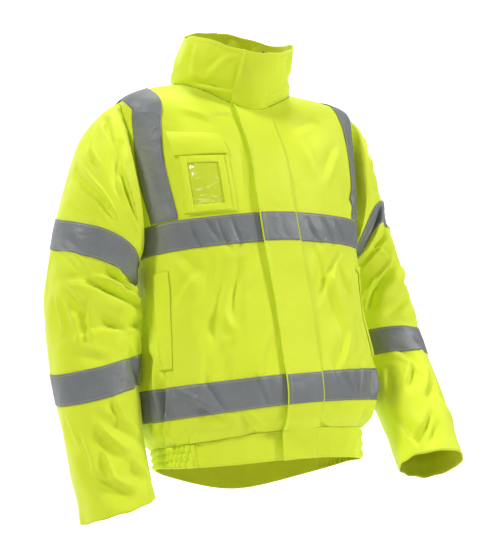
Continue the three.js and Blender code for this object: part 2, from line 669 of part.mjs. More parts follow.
// Sleeves and their bands
const SLEEVE_ROWS = {
  right: [0, 0.45, 1, 1.6, 2.3, 3, 3.6, 4.2, 4.75, 5.1, 5.45, 5.85, 6.2, 6.6, 7.1, 7.8, 8.6, 9.3, 10.2, 11.1, 12],
  left: [0, 0.5, 1, 1.6, 2.3, 3, 3.6, 4.2, 4.65, 5.1, 5.5, 5.9, 6.3, 6.75, 7.2, 7.75, 8.4, 9.1, 10, 11, 12],
};
const BANDS = { right: [[4.75, 5.45], [8.6, 9.3]], left: [[4.2, 5.1], [8.4, 9.1]] };
// Row of a band's upper edge at the middle, and how much more it is at the outer side and at the back
const BAND_EDGES = {
  right: [[4.28, 0.65, -0.41], [8.39, 0.17, -0.39]],
  left: [[3.9, 1.0, 0.2], [8.34, 0.2, -0.19]],
};
const BAND_STEP = 0.04;
function bandMarks(key, side, phi) {
  const marks = [0];
  for (const [middle, outer, back] of BAND_EDGES[key]) {
    let t = middle + outer * Math.cos(phi) + back * Math.sin(phi);
    marks.push(t);
    let from = sleeve(side, phi, t);
    let length = 0;
    let step = 0;
    while (length < TAPE_WIDTH) {
      t += BAND_STEP;
      const to = sleeve(side, phi, t);
      step = Math.hypot(...sub(to, from));
      length += step;
      from = to;
    }
    marks.push(t - (BAND_STEP * (length - TAPE_WIDTH)) / step);
  }
  return [...marks, 12];
}
// Sleeve row at an angle, moved so that whole rows run along the edges of the bands
function bandRow(marks, nominal, t) {
  let i = 0;
  while (i < nominal.length - 2 && nominal[i + 1] <= t) i++;
  return lerp(marks[i], marks[i + 1], (t - nominal[i]) / (nominal[i + 1] - nominal[i]));
}
for (const [key, side] of [["right", -1], ["left", 1]]) {
  const rows = SLEEVE_ROWS[key];
  const nominal = [0, ...BANDS[key].flat(), 12];
  const marks = [];
  for (let k = 0; k < 2 * ARM_STEPS; k++) marks.push(bandMarks(key, side, (k * Math.PI) / ARM_STEPS));
  const grid = rows.map((t) => marks.map((m, k) => sleeve(side, (k * Math.PI) / ARM_STEPS, bandRow(m, nominal, t))));
  const normals = gridNormals(grid, true).map((line) => line.map((n) => n.map((x) => -side * x)));
  slab(`sleeve_${key}`, grid, offset(grid, normals, -WALL), true, YELLOW);
  BANDS[key].forEach(([t0, t1], b) => {
    const p = grid.slice(rows.indexOf(t0), rows.indexOf(t1) + 1);
    const n = normals.slice(rows.indexOf(t0), rows.indexOf(t1) + 1);
    const name = `${b ? "lower" : "upper"}_band_${key}`;
    slab(name, offset(p, n, GAP + TAPE), offset(p, n, GAP), true, SILVER, 0.5);
  });
}

export default group;
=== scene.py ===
"""High-visibility work jacket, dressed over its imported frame.

The cloth is a set of thin sheets on the same surfaces as the solids, with finer folds, puckered seams,
reflective tapes, stitching, a card pocket and a zip. Tables and surfaces are in millimetres, and every
mesh is made in metres. The figure faces -Y and its left is +X.
"""
import math
import bpy
import numpy as np
from mathutils import Matrix, Vector


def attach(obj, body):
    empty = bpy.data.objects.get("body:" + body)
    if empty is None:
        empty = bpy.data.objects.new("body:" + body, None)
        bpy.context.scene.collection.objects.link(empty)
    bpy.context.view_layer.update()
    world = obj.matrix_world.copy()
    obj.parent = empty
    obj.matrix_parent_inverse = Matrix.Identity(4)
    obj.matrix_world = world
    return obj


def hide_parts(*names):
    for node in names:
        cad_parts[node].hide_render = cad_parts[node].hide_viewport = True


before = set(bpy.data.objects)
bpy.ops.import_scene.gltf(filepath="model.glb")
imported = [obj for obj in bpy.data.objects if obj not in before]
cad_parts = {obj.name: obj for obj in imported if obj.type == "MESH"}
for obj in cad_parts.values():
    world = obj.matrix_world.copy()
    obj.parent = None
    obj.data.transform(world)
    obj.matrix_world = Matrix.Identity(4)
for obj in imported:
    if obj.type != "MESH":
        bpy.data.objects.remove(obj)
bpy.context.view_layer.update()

bl_info = {
    "name": "Hi-vis work jacket",
    "version": (1, 0, 0),
    "blender": (4, 5, 0),
    "location": "3D View > Sidebar > Jacket",
    "description": "Dresses the frame of a high-visibility work jacket in cloth, tapes and stitching",
    "category": "Object",
}

MM = 0.001
DEG = math.pi / 180

# Torso rings from the hem seam (0) to the neck seam (12)
# zSide, zFront, zBack, halfWidth, frontDepth, backDepth, squareness, xMiddle, sideTilt
TORSO = np.array([
    [-590, -577, -628, 180, 124, 119, 2.4, -12, 0],
    [-570, -558, -602, 201, 138, 132, 2.4, -10.5, 0],
    [-532, -524, -546, 213, 144, 138, 2.4, -7, -0.015],
    [-473, -470, -475, 208, 140, 137, 2.4, -6, -0.015],
    [-385, -385, -385, 198, 131, 132, 2.4, -4, 0],
    [-307, -299, -300, 196, 125, 130, 2.4, -2, 0],
    [-248, -238, -238, 200, 122, 130, 2.4, 0, 0],
    [-192, -182, -179, 207, 118, 129, 2.4, 0, 0],
    [-134, -148, -123, 212, 113, 127, 2.4, 0, 0],
    [-74, -116, -68, 216, 103, 117, 2.4, 0, 0.01],
    [-24, -88, -20, 214, 89, 99, 2.4, -1, 0.02],
    [0, -62, 5, 162, 79, 86, 2.3, -3, 0.035],
    [12, -41, 18, 106, 68, 77, 2.1, -4, 0.05],
], float)
NECK = len(TORSO) - 1
HEM_TOP = np.array([-590.6, -577.6, -628.6, 180, 124, 119, 2.4, -12, 0], float)
HEM_BOTTOM = np.array([-634, -625, -677, 177, 120, 117, 2.4, -12.5, 0], float)
HEM_TILT_FRONT = 0.02
HEM_TILT_BACK = 0.1
# The elastic reaches from HEM_FLAT to HEM_BACK along the hem, at both sides
HEM_FLAT = 160
HEM_BACK = 330
ELASTIC_MIDDLE = (HEM_FLAT + HEM_BACK) / 2
ELASTIC_HALF = (HEM_BACK - HEM_FLAT) / 2

# Shift of the front opening towards the wearer's left, at each torso row
CENTRE_SHIFT = np.array([18, 18, 18, 17.5, 15.5, 8, 2, 0, 0, 0, 0, 0, 0], float)[:, None]

# Armhole: rows of the torso, and angles in front of and behind the side
ARMPIT_ROW = 5.55
TIP_ROW = 10.0
ARM_MIDDLE = (TIP_ROW + ARMPIT_ROW) / 2
ARM_HALF = (TIP_ROW - ARMPIT_ROW) / 2
ARM_FRONT = 8.5 * DEG
ARM_BACK = 15 * DEG

# Collar rings above the neck seam: zSide, zFront, zBack, halfWidth, yFront, yBack, squareness, xMiddle, sideTilt
COLLAR = [
    [30, -21, 46, 106, -88, 71, 2.1, -8, 0.04],
    [51, 0, 77, 99, -107, 61, 2.1, -9, 0.03],
    [69, 20, 104, 95, -121, 51, 2.1, -7, 0.02],
    [86, 38, 130, 94, -129, 42, 2.1, -3, 0.02],
]
COLLAR_DEPTH = np.array([[68], [79.5], [84], [86], [85.5]], float)

# Sleeve rings after the armhole: outerX, outerZ, innerX, innerZ, halfDepth, centreY, forwardTilt
SLEEVES = {
    -1: np.array([
        [238, -34, 201, -281, 68, 4, 0],
        [264, -56, 204, -285, 76, 4, 0],
        [291, -98, 206, -291, 80, 4, 0],
        [312, -156, 208, -298, 79, 6, 2],
        [331, -218, 210, -312, 77, 10, 5],
        [347, -284, 210, -338, 76, 14, 8],
        [356, -350, 212, -374, 74, 17, 12],
        [357, -420, 214, -424, 71, 14, 16],
        [352, -492, 221, -486, 68, 6, 19],
        [346, -560, 224, -551, 65, -4, 19],
        [340, -628, 223, -610, 61, -14, 14],
        [333, -692, 219, -666, 58, -25, 2],
    ], float),
    1: np.array([
        [228, -38, 201, -281, 66, 5, 3],
        [243, -66, 204, -284, 75, 13, 8],
        [259, -110, 206, -288, 79, 27, 12],
        [280, -162, 208, -294, 81, 42, 13],
        [299, -214, 209, -305, 81, 55, 14],
        [322, -270, 210, -325, 79, 62, 14],
        [338, -330, 211, -362, 76, 62, 14],
        [349, -395, 211, -416, 71, 48, 17],
        [341, -462, 215, -478, 67, 18, 21],
        [334, -530, 217, -538, 63, -24, 23],
        [322, -600, 213, -596, 59, -68, 24],
        [312, -667, 205, -650, 56, -108, 24],
    ], float),
}
# Sleeve bands: row of the upper edge at the middle, and how much more it is at the outer side and at the back
BANDS = {-1: [(4.28, 0.65, -0.41), (8.39, 0.17, -0.39)], 1: [(3.9, 1.0, 0.2), (8.34, 0.2, -0.19)]}
WAIST_ROWS = (1.66, 2.69)
CHEST_ROWS = (5.37, ARM_MIDDLE - ARM_HALF * math.cos(math.pi / 4))
BELTS = (("chest", CHEST_ROWS), ("waist", WAIST_ROWS))
SIDES = ((-1, "right"), (1, "left"))
# Angle of the centre back, just short of a full half turn
CENTRE_BACK = 179.99 * DEG
# Half the width of the zip between the fronts, and the gap at the other seams
ZIP_HALF = 6.5
SEAM = 0.25
# Inset of the tapes from the seams, and the rows and columns of the grids of tapes and sleeves
TAPE_INSET = 1.2
TAPE_ROWS = 17
ROUND_COLUMNS = 156
# Scale from rows to mm for the folds of collar and sleeves, and how much deeper all folds are than their tables say
COLLAR_STEP = 30
SLEEVE_STEP = 60
FOLD_GAIN = 2.1
SLEEVE_GAIN = 1.6
# Distances from the opening at which the left tapes and their stitches start, under and beside the storm flap
LEFT_TAPE_START = 20
LEFT_STITCH_START = 32
# Height of the outside of the stitched rows over the cloth under a tape
OVER_TAPE = 1.35

# Folds of the torso: q0, z0, q1, z1, half width, depth, bow. q runs along the cloth from the centre front
# towards the wearer's left. A negative depth is a valley.
TORSO_FOLDS = [
    # the largest, as in the solids
    (-66, -300, -92, -412, 16, -5, 8), (-128, -385, -104, -428, 14, -3.5, 0),
    (-262, -330, -236, -560, 12, -5, 4), (74, -330, 104, -440, 18, -4, -6),
    (205, -470, 168, -548, 12, -4.5, 3), (262, -300, 240, -560, 14, -4, -4),
    (-185, -290, -140, -350, 18, 3, 0), (176, -292, 136, -356, 18, 3, 0),
    (330, -240, 420, -330, 22, -4, 6), (-340, -250, -430, -350, 22, -4, -6),
    (480, -400, 560, -520, 22, -4, 10), (-400, -420, -470, -560, 20, -4, -8),
    (470, -120, 500, -210, 20, -3, 0),
    # finer ones of the fronts
    (-240, -436, -248, -560, 10, -8, 3), (-222, -480, -231, -594, 9, -8, -2), (-90, -296, -130, -452, 15, -5, 8),
    (-240, -546, -209, -592, 7, -3, 0), (-181, -560, -170, -594, 6, -3, 0),
    (-140, -310, -188, -362, 9, -3, 3), (126, -284, 58, -380, 11, -4, 5), (124, -416, 74, -498, 10, -3, 0),
    (-196, -508, -108, -560, 9, -3, 4), (-98, -548, -52, -584, 10, -3, 0), (34, -558, 84, -584, 8, -3, 0),
    (-98, -66, -40, -58, 9, -2, -4), (-210, -574, -190, -594, 6, -3, 0), (150, -556, 190, -592, 9, -4, 3),
    (-236, -288, -206, -560, 7, -2.6, 5), (-216, -470, -232, -592, 6, -2.4, -3),
    (-60, -262, -84, -330, 9, -2.2, 4), (-96, -430, -120, -500, 12, -2, 5),
    (-40, -420, -66, -520, 14, 2.4, 6), (-150, -440, -168, -560, 11, 2, 0),
    (-120, -290, -150, -372, 10, -1.8, -6), (60, -268, 88, -350, 10, -2, 3),
    (112, -300, 150, -372, 12, -2.2, 5), (150, -390, 122, -486, 10, -2.2, -5),
    (212, -280, 176, -340, 8, -2.6, 3), (232, -300, 210, -420, 8, -2.2, 4),
    (188, -440, 160, -520, 8, -2.4, -3), (60, -470, 92, -560, 12, 1.8, 0),
    (150, -100, 96, -172, 12, -2.2, 5), (196, -176, 150, -222, 9, -2, 3),
    (-206, -130, -176, -222, 7, -1.6, 0), (60, -96, 84, -168, 14, 1.8, 0),
    (-52, -96, -60, -206, 9, -1.6, -4), (120, -60, 60, -84, 12, -2, 4),
    (-150, -58, -84, -78, 12, -1.8, -4),
    # ripples of the chest and waist tapes
    (-150, -232, -126, -288, 5, -1.8, 2), (-128, -230, -100, -282, 5, -1.8, -2), (-106, -236, -82, -292, 5, -2, 2),
    (-84, -230, -66, -286, 4, -1.5, 0), (52, -232, 82, -286, 5, -2, 2), (84, -230, 112, -286, 5, -2, -2),
    (116, -232, 142, -278, 5, -1.8, 0), (-150, -478, -118, -542, 5, -1.8, 2), (-72, -484, -50, -542, 5, -1.6, 0),
    (90, -478, 120, -542, 5, -1.8, 0), (144, -476, 120, -542, 5, -1.8, 2),
    # the back
    (300, -90, 420, -150, 16, -2.6, 8), (-310, -96, -420, -140, 16, -2.4, -8),
    (400, -180, 372, -300, 12, -2.4, 6), (-380, -170, -366, -296, 13, -2.6, -5),
    (520, -220, 440, -300, 16, -2.8, 6), (-500, -240, -430, -330, 15, -2.6, -6),
    (300, -300, 350, -420, 14, -3, 6), (-300, -310, -352, -440, 13, -3.2, -6),
    (420, -440, 396, -600, 12, -2.8, 5), (-330, -470, -352, -610, 12, -2.8, 4),
    (500, -520, 486, -622, 11, -2.6, 4), (-520, -380, -560, -500, 16, -2.2, 6),
    (360, -500, 330, -596, 10, -3, 3), (-440, -520, -430, -620, 10, -2.4, 3),
]

# Folds of the sleeves: angle0, ring0, angle1, ring1, half width in mm, depth, bow
# The angle runs from the outer side (0) to the back (90), the body (180) and the front (270).
SLEEVE_FOLDS = {
    -1: [
        # seen from the front
        (352, 5.7, 296, 6.5, 12, -9, -6), (300, 6.5, 211, 6.95, 12, -11, 4), (335, 6.7, 222, 7.3, 15, 6, -8),
        (272, 5.9, 226, 6.55, 9, -8, 0), (321, 6.75, 290, 7.6, 7, -7, 0), (292, 7.1, 294, 8.3, 7, -6, 2),
        (327, 7.0, 309, 8.2, 8, -6, 0), (278, 7.6, 235, 7.95, 8, -6, 0), (342, 6.9, 330, 7.8, 8, -5, 2),
        (346, 3.55, 300, 3.95, 9, -10, 4), (311, 3.85, 270, 4.2, 8, -9, -3), (288, 2.2, 245, 2.6, 8, -9, 4),
        (333, 1.3, 311, 2.0, 7, -7, 3), (329, 3.0, 309, 3.2, 6, -6, 2), (348, 2.0, 332, 3.2, 9, -5, 3),
        (340, 4.5, 300, 4.75, 8, -4, 2), (300, 1.2, 276, 3.3, 9, -5, 4),
        (305, 10.1, 260, 10.95, 9, -9, 4), (330, 10.9, 258, 11.75, 9, -9, 4), (275, 9.6, 260, 10.2, 7, -6, 0),
        (300, 9.8, 222, 10.6, 10, -6, 3), (302, 10.6, 292, 11.4, 7, -6, 0), (327, 10.1, 317, 11.0, 8, -5, 0),
        (352, 9.6, 330, 10.6, 9, -5, 2), (262, 11.0, 232, 11.5, 8, -6, 2), (316, 8.3, 265, 8.7, 9, -4, 2),
        (240, 8.3, 214, 9.2, 9, -5, 0), (18, 5.4, 350, 6.6, 11, -6, 3), (12, 7.2, 350, 8.0, 10, -5, 0),
        # fullness beside the body
        (232, 6.0, 186, 8.2, 34, 7, 0), (226, 7.6, 190, 9.0, 22, 4, 0),
        # the hidden sides
        (60, 5.4, 140, 6.6, 14, -9, 6), (50, 6.6, 130, 7.6, 14, -8, 4), (100, 3.0, 150, 4.6, 14, -8, 0),
        (70, 8.6, 130, 9.6, 14, -6, 0), (20, 2.0, 60, 3.8, 12, -6, 4), (30, 5.9, 75, 7.2, 9, -6, 4),
        (110, 7.6, 160, 8.4, 9, -6, 4), (40, 9.2, 90, 10.4, 12, -6, 4), (100, 10.2, 150, 11.2, 10, -6, 0),
        (60, 1.2, 90, 2.6, 10, -5, 0), (36, 10.6, 78, 11.4, 9, -6, 3), (82, 4.2, 120, 5.2, 10, -5, 3),
    ],
    1: [
        # seen from the front
        (312, 6.5, 218, 7.5, 12, -11, -4), (306, 6.2, 245, 7.2, 9, -8, 3), (252, 6.8, 226, 7.8, 8, -7, 0),
        (322, 7.4, 246, 8.05, 10, -8, 4), (226, 5.4, 318, 4.1, 13, -8, 6), (224, 6.0, 326, 5.2, 12, -8, 4),
        (300, 6.9, 240, 7.5, 12, 5, -4), (340, 6.7, 300, 7.3, 9, -6, 3),
        (226, 9.5, 200, 10.5, 9, -8, 0), (267, 9.6, 235, 10.25, 9, -8, 3), (266, 10.9, 215, 11.65, 9, -8, 4),
        (257, 5.4, 293, 6.4, 9, -6, 0), (203, 10.8, 222, 11.8, 8, -6, 0), (273, 11.2, 232, 11.9, 8, -7, 0),
        (300, 1.6, 306, 3.5, 9, -6, 3), (274, 2.2, 314, 4.4, 9, -7, -4), (296, 9.9, 262, 10.6, 9, -6, 3),
        (300, 10.4, 336, 11.3, 8, -6, 0), (286, 8.9, 320, 9.6, 7, -4, 0), (238, 8.2, 300, 8.6, 12, -4, 3),
        (240, 9.0, 282, 9.9, 9, -5, 4), (318, 1.4, 350, 3.2, 9, -5, 4),
        # the hidden sides
        (60, 5.6, 135, 6.5, 14, -9, 6), (55, 6.8, 130, 7.7, 14, -8, 4), (100, 3.2, 150, 4.8, 14, -8, 0),
        (20, 2.4, 70, 4.0, 12, -6, 4), (30, 6.0, 80, 7.3, 9, -6, 4), (110, 7.8, 160, 8.6, 9, -6, 4),
        (40, 9.2, 90, 10.3, 12, -6, 4), (80, 10.4, 140, 11.3, 10, -6, 3), (20, 10.2, 48, 11.4, 9, -5, 2),
        (60, 1.2, 96, 2.4, 10, -5, 0),
    ],
}

# Folds of the collar: as for the torso, with the height as rows times COLLAR_STEP
COLLAR_FOLDS = [
    (70, 118, 122, 34, 8, -5, 4), (150, 100, 128, 20, 9, -4, 0), (-60, 110, -96, 30, 11, -3.5, 4),
    (-130, 104, -116, 24, 9, -4, 0), (-196, 110, -180, 40, 10, -4, 4), (216, 108, 236, 30, 10, -4, 4),
    (-262, 100, -250, 20, 9, -4, 0), (92, 30, 22, 8, 8, -3.5, 3), (-34, 34, -118, 8, 9, -3.5, 3),
    (-150, 60, -176, 14, 9, -3, 0),
    (176, 60, 200, 14, 9, -3, 0), (262, 110, 276, 50, 8, -4, 0), (-230, 60, -214, 10, 8, -3, 0),
]


# Surfaces, for arrays of places
def spline(table, v, columns=False):
    """Smooth value of a table at fractional rows, or of one where every place has its own column."""
    v = np.asarray(v, float)
    i = np.clip(np.floor(v).astype(int), 0, len(table) - 2)
    t = (v - i)[..., None]
    rows = np.concatenate([[2 * table[0] - table[1]], table, [2 * table[-1] - table[-2]]])
    p0, p1, p2, p3 = (np.take_along_axis(rows, (i + k)[None, ..., None], 0)[0] if columns else rows[i + k]
                      for k in range(4))
    m1, m2, d = (p2 - p0) / 2, (p3 - p1) / 2, p2 - p1
    return p1 + t * (m1 + t * (3 * d - 2 * m1 - m2 + t * (m1 + m2 - 2 * d)))


def unit(a):
    return a / np.maximum(np.linalg.norm(a, axis=-1, keepdims=True), 1e-9)


def fold_profile(across, width):
    """Cross-section of a fold: steep on one side, soft on the other, with the cloth pushed up beside it."""
    u = across / (width * np.where(across < 0, 0.58, 1.2))
    return np.exp(-np.abs(u) ** 1.12) - 0.5 * np.exp(-((u + 1.75) / 0.85) ** 2) - 0.2 * np.exp(-((u - 2) / 1.1) ** 2)


def crumple(s, h, seed):
    """Fine uneven creases of a stiff coated cloth: crisp ridges in patches that come and go."""
    total = np.zeros(np.broadcast(s, h).shape)
    for k, (turn, pitch, deep) in enumerate(((0.5, 29, 0.75), (-0.75, 37, 0.8), (1.25, 23, 0.5), (-0.2, 53, 0.9))):
        c, d = math.cos(turn), math.sin(turn)
        a, b = s * c + h * d, h * c - s * d
        phase = a / pitch + 0.9 * np.sin(b / (pitch * 1.9) + seed + k) + 0.5 * np.sin(b / (pitch * 0.8) + 2 * k)
        patch = np.clip(np.sin(a / (pitch * 1.7) + 1.3 * k + seed) * np.sin(b / (pitch * 1.4) + 2.1 * k - seed), 0, 1)
        total += deep * patch * (0.74 - np.sqrt(np.sin(phase) ** 2 + 0.02)) * 1.6
    return total


def fold_depth(folds, s, h, gain=FOLD_GAIN, s_scale=1.0, h_scale=1.0):
    """Sum of folds, each a tapering valley or ridge along a bowed line. The scales turn its ends into mm."""
    total = np.zeros(np.broadcast(s, h).shape)
    for s0, h0, s1, h1, width, depth, bow in folds:
        ds, dh = (s1 - s0) * s_scale, (h1 - h0) * h_scale
        off_s, off_h = s - s0 * s_scale, h - h0 * h_scale
        long = np.hypot(ds, dh)
        t = (off_s * ds + off_h * dh) / long ** 2
        inside = (t > 0) & (t < 1)
        t = np.clip(t, 0, 1)
        across = (off_s * dh - off_h * ds) / long - bow * 4 * t * (1 - t)
        total += np.where(inside, gain * depth * fold_profile(across, width) * np.sin(np.pi * t) ** 0.85, 0)
    return total


def ring_point(row, theta):
    z_side, z_front, z_back, a, front, back, n, x_middle, side_tilt = np.moveaxis(row, -1, 0)
    s, c = np.sin(theta), np.cos(theta)
    deep = np.where(c > 0, front, back)
    r = (np.abs(s / a) ** n + np.abs(c / deep) ** n) ** (-1 / n)
    z = z_side + (np.where(c > 0, z_front, z_back) - z_side) * np.abs(c) ** 1.4
    return np.stack([r * s + x_middle, -r * c, z - side_tilt * r * s], -1)


ANGLES = np.arange(91) * 2 * DEG
ARC_V = np.arange(0, NECK + 0.01, 0.25)
_line = ring_point(spline(TORSO, ARC_V)[:, None, :] * np.ones((1, 91, 1)), ANGLES[None, :])
ARCS = np.concatenate([np.zeros((len(ARC_V), 1)),
                       np.cumsum(np.linalg.norm(np.diff(_line, axis=1), axis=-1), axis=1)], 1)
ARC_LENGTH = ARCS[:, -1]
SHARES = np.linspace(0, 1, 181)
ANGLE_AT = np.stack([np.interp(SHARES * a[-1], a, ANGLES) for a in ARCS])


def _grid_read(table, fi, fj):
    fi = np.clip(fi, 0, table.shape[0] - 1.0001)
    fj = np.clip(fj, 0, table.shape[1] - 1.0001)
    i, j = np.floor(fi).astype(int), np.floor(fj).astype(int)
    a, b = fi - i, fj - j
    return ((table[i, j] * (1 - b) + table[i, j + 1] * b) * (1 - a)
            + (table[i + 1, j] * (1 - b) + table[i + 1, j + 1] * b) * a)


def q_of(theta, v):
    """Distance along the cloth from the centre front."""
    return np.sign(theta) * _grid_read(ARCS, np.asarray(v) * 4, np.abs(theta) / (2 * DEG))


def theta_of(q, v):
    length = np.interp(v, ARC_V, ARC_LENGTH)
    return np.sign(q) * _grid_read(ANGLE_AT, np.asarray(v) * 4, np.abs(q) / length * 180)


def arm_angle(v, back):
    """Angle where a panel ends at the side, cut in by the armhole."""
    t = (np.asarray(v) - ARM_MIDDLE) / ARM_HALF
    wide = np.sqrt(np.clip(1 - t * t, 0, 1))
    return 90 * DEG + (ARM_BACK if back else -ARM_FRONT) * wide


def torso_plain(theta, v):
    return ring_point(spline(TORSO, v), theta)


def around(theta):
    """The same angle between -pi and pi."""
    return np.where(theta > math.pi, theta - 2 * math.pi, theta)


def torso(theta, v):
    """The torso with its folds, puffed hem fullness and puckers beside the armholes."""
    theta, v = np.broadcast_arrays(np.asarray(theta, float), np.asarray(v, float))
    p = torso_plain(theta, v)
    q = q_of(around(theta), v)
    z = p[..., 2]
    d = fold_depth(TORSO_FOLDS, q, z)
    side = np.sign(q)
    elastic = np.exp(-((np.abs(q) - ELASTIC_MIDDLE) / 74) ** 4)
    flat = 1 - elastic
    above = np.clip(v, 0, 4)
    d += elastic * 3.6 * (1.1 - 2 * np.abs(np.sin(q / 7 + 1.1 * np.sin(q / 21)))) * np.exp(-(above / 0.6) ** 1.3)
    d += elastic * 2.2 * np.sin(q / 6.1 + side) * np.exp(-((above - 0.7) / 0.8) ** 2)
    d += flat * 0.7 * np.sin(q / 7.3) * np.exp(-above / 0.35)
    # soft unevenness of lined cloth
    d += 0.6 * np.sin(q / 31 + z / 47) + 0.4 * np.sin(q / 17 - z / 23 + 1.3) + 1.3 * crumple(q, z, 1.0)
    # puckers on the body side of the armhole seam
    for back in (False, True):
        edge = q_of(arm_angle(v, back), v)
        near = np.where((v > ARMPIT_ROW - 0.2) & (v < TIP_ROW + 0.1), np.abs(np.abs(q) - edge), 99)
        d += 0.8 * np.exp(-near / 9) * np.sin(z / 2.2 + 0.8 * np.sin(z / 11))
    out = unit(np.stack([p[..., 0] / 2, p[..., 1], np.zeros_like(z)], -1))
    return p + out * d[..., None]


def torso_normal(theta, v):
    h, e = 0.008, 0.02
    low, high = np.maximum(v - e, 0), np.minimum(v + e, NECK)
    return unit(np.cross(torso(theta + h, v) - torso(theta - h, v), torso(theta, high) - torso(theta, low)))


def row_at_height(q, z):
    """Row of the torso where the cloth at q reaches the height z."""
    low, high = np.zeros(np.shape(q)), np.full(np.shape(q), float(NECK))
    for _ in range(24):
        v = (low + high) / 2
        under = torso_plain(theta_of(q, v), v)[..., 2] < z
        low, high = np.where(under, v, low), np.where(under, high, v)
    return (low + high) / 2


def collar_angle(q, v):
    return np.arctan(q / spline(COLLAR_DEPTH, v)[..., 0])


def collar(theta, v):
    theta, v = np.broadcast_arrays(np.asarray(theta, float), np.asarray(v, float))
    base = torso(theta, np.full(theta.shape, float(NECK)))
    rings = [base + [0, 0, 0.6]]
    for zs, zf, zb, a, yf, yb, n, xm, tilt in COLLAR:
        half = (yb - yf) / 2
        row = np.array([zs, zf, zb, a, half, half, n, xm, tilt], float)
        rings.append(ring_point(np.broadcast_to(row, theta.shape + (9,)), theta) + [0, (yf + yb) / 2, 0])
    p = spline(np.stack(rings), v, True)
    s = around(theta) * 95
    d = 1.2 * np.sin(3 * theta + 1) * (v / 4) + fold_depth(COLLAR_FOLDS, s, v * COLLAR_STEP)
    d += 0.5 * np.sin(s / 13 + v * 2) + 1.1 * crumple(s, v * COLLAR_STEP, 4.0) * np.minimum(1, v)
    out = unit(np.stack([p[..., 0] - 5, p[..., 1] + 20, 0 * d], -1))
    # the top edge stands a little unevenly
    rise = np.clip(v - 3, 0, 1) * (1.0 * np.sin(s / 19 + 1) + 0.7 * np.sin(s / 8.3))
    return p + out * d[..., None] + rise[..., None] * np.array([0, 0, 1.0])


def hem(theta, w):
    row = HEM_TOP + (HEM_BOTTOM - HEM_TOP) * np.asarray(w, float)[..., None]
    p = ring_point(row, theta)
    tilt = HEM_TILT_FRONT + (HEM_TILT_BACK - HEM_TILT_FRONT) * (1 - np.cos(theta)) / 2
    p[..., 2] -= tilt * p[..., 0] * w
    return p


def sleeve(side, phi, t):
    """Sleeve surface: phi from the outer side to the back, t from the armhole to the cuff."""
    phi, t = np.broadcast_arrays(np.asarray(phi, float), np.asarray(t, float))
    table = SLEEVES[side]
    angle = phi[0]
    c, s = np.cos(angle), np.sin(angle)
    v0 = ARM_MIDDLE + ARM_HALF * c
    th0 = side * (90 * DEG + s * np.where(s > 0, ARM_BACK, ARM_FRONT))
    seam = torso(th0, v0) + torso_normal(th0, v0) * 0.5
    r = (np.abs(c) ** 2.15 + np.abs(s) ** 2.15) ** (-1 / 2.15)
    rings = [seam]
    for ox, oz, ix, iz, deep, cy, tilt in table:
        u, w = r * c, r * s * deep
        rings.append(np.stack([side * ((ox + ix) / 2 + u * (ox - ix) / 2), cy + w * math.cos(tilt * DEG),
                               (oz + iz) / 2 + u * (oz - iz) / 2 - w * math.sin(tilt * DEG)], -1))
    rings = np.stack(rings)
    p = spline(np.broadcast_to(rings[:, None], (len(rings),) + phi.shape + (3,)), t, True)
    ring = spline(np.concatenate([table[:1], table]), t)
    radius = (ring[..., 4] + (ring[..., 0] - ring[..., 2]) / 2) / 2
    along = phi * radius
    h = t * SLEEVE_STEP
    d = fold_depth(SLEEVE_FOLDS[side], along, h, SLEEVE_GAIN, DEG * radius, SLEEVE_STEP)
    d += 0.6 * np.sin(along / 23 + h / 37) + 0.4 * np.sin(along / 13 - h / 19 + 2) + 2.3 * crumple(along, h, 2.0 + side)
    d *= np.minimum(1, t)
    # gathered puckers of the sleeve head, strongest over the shoulder
    d += 1.3 * np.exp(-((t - 0.22) / 0.3) ** 2) * np.sin(along / 2.1 + np.sin(along / 13)) * (0.6 + 0.4 * np.cos(phi))
    # turned and stitched cuff hem
    low = np.clip(t - 11.1, 0, 0.9) / 0.9
    d += -0.9 * np.exp(-((t - 11.62) / 0.05) ** 2) + low * (1.2 * np.sin(5 * phi + 1) + 0.8 * np.sin(11 * phi))
    p = p + (low * (0.9 * np.sin(4 * phi + side) + 0.7 * np.sin(9 * phi)))[..., None] * np.array([0, 0, 1.0])
    middle = np.stack([side * (ring[..., 0] + ring[..., 2]) / 2, ring[..., 5], (ring[..., 1] + ring[..., 3]) / 2], -1)
    return p + unit(p - middle) * d[..., None]


def grid_normals(grid, wrap=False):
    """Outward directions of a grid whose rows climb and whose columns turn towards the wearer's left."""
    if wrap:
        across = np.roll(grid, -1, 1) - np.roll(grid, 1, 1)
    else:
        across = np.gradient(grid, axis=1)
    return unit(np.cross(across, np.gradient(grid, axis=0)))


# Meshes
def length_along(grid, axis):
    steps = np.linalg.norm(np.diff(grid, axis=axis), axis=-1)
    zero = np.zeros_like(np.take(steps, [0], axis))
    return np.cumsum(np.concatenate([zero, steps], axis), axis)


def closed_grid(grid, wrap):
    return np.concatenate([grid, grid[:, :1]], 1) if wrap else grid


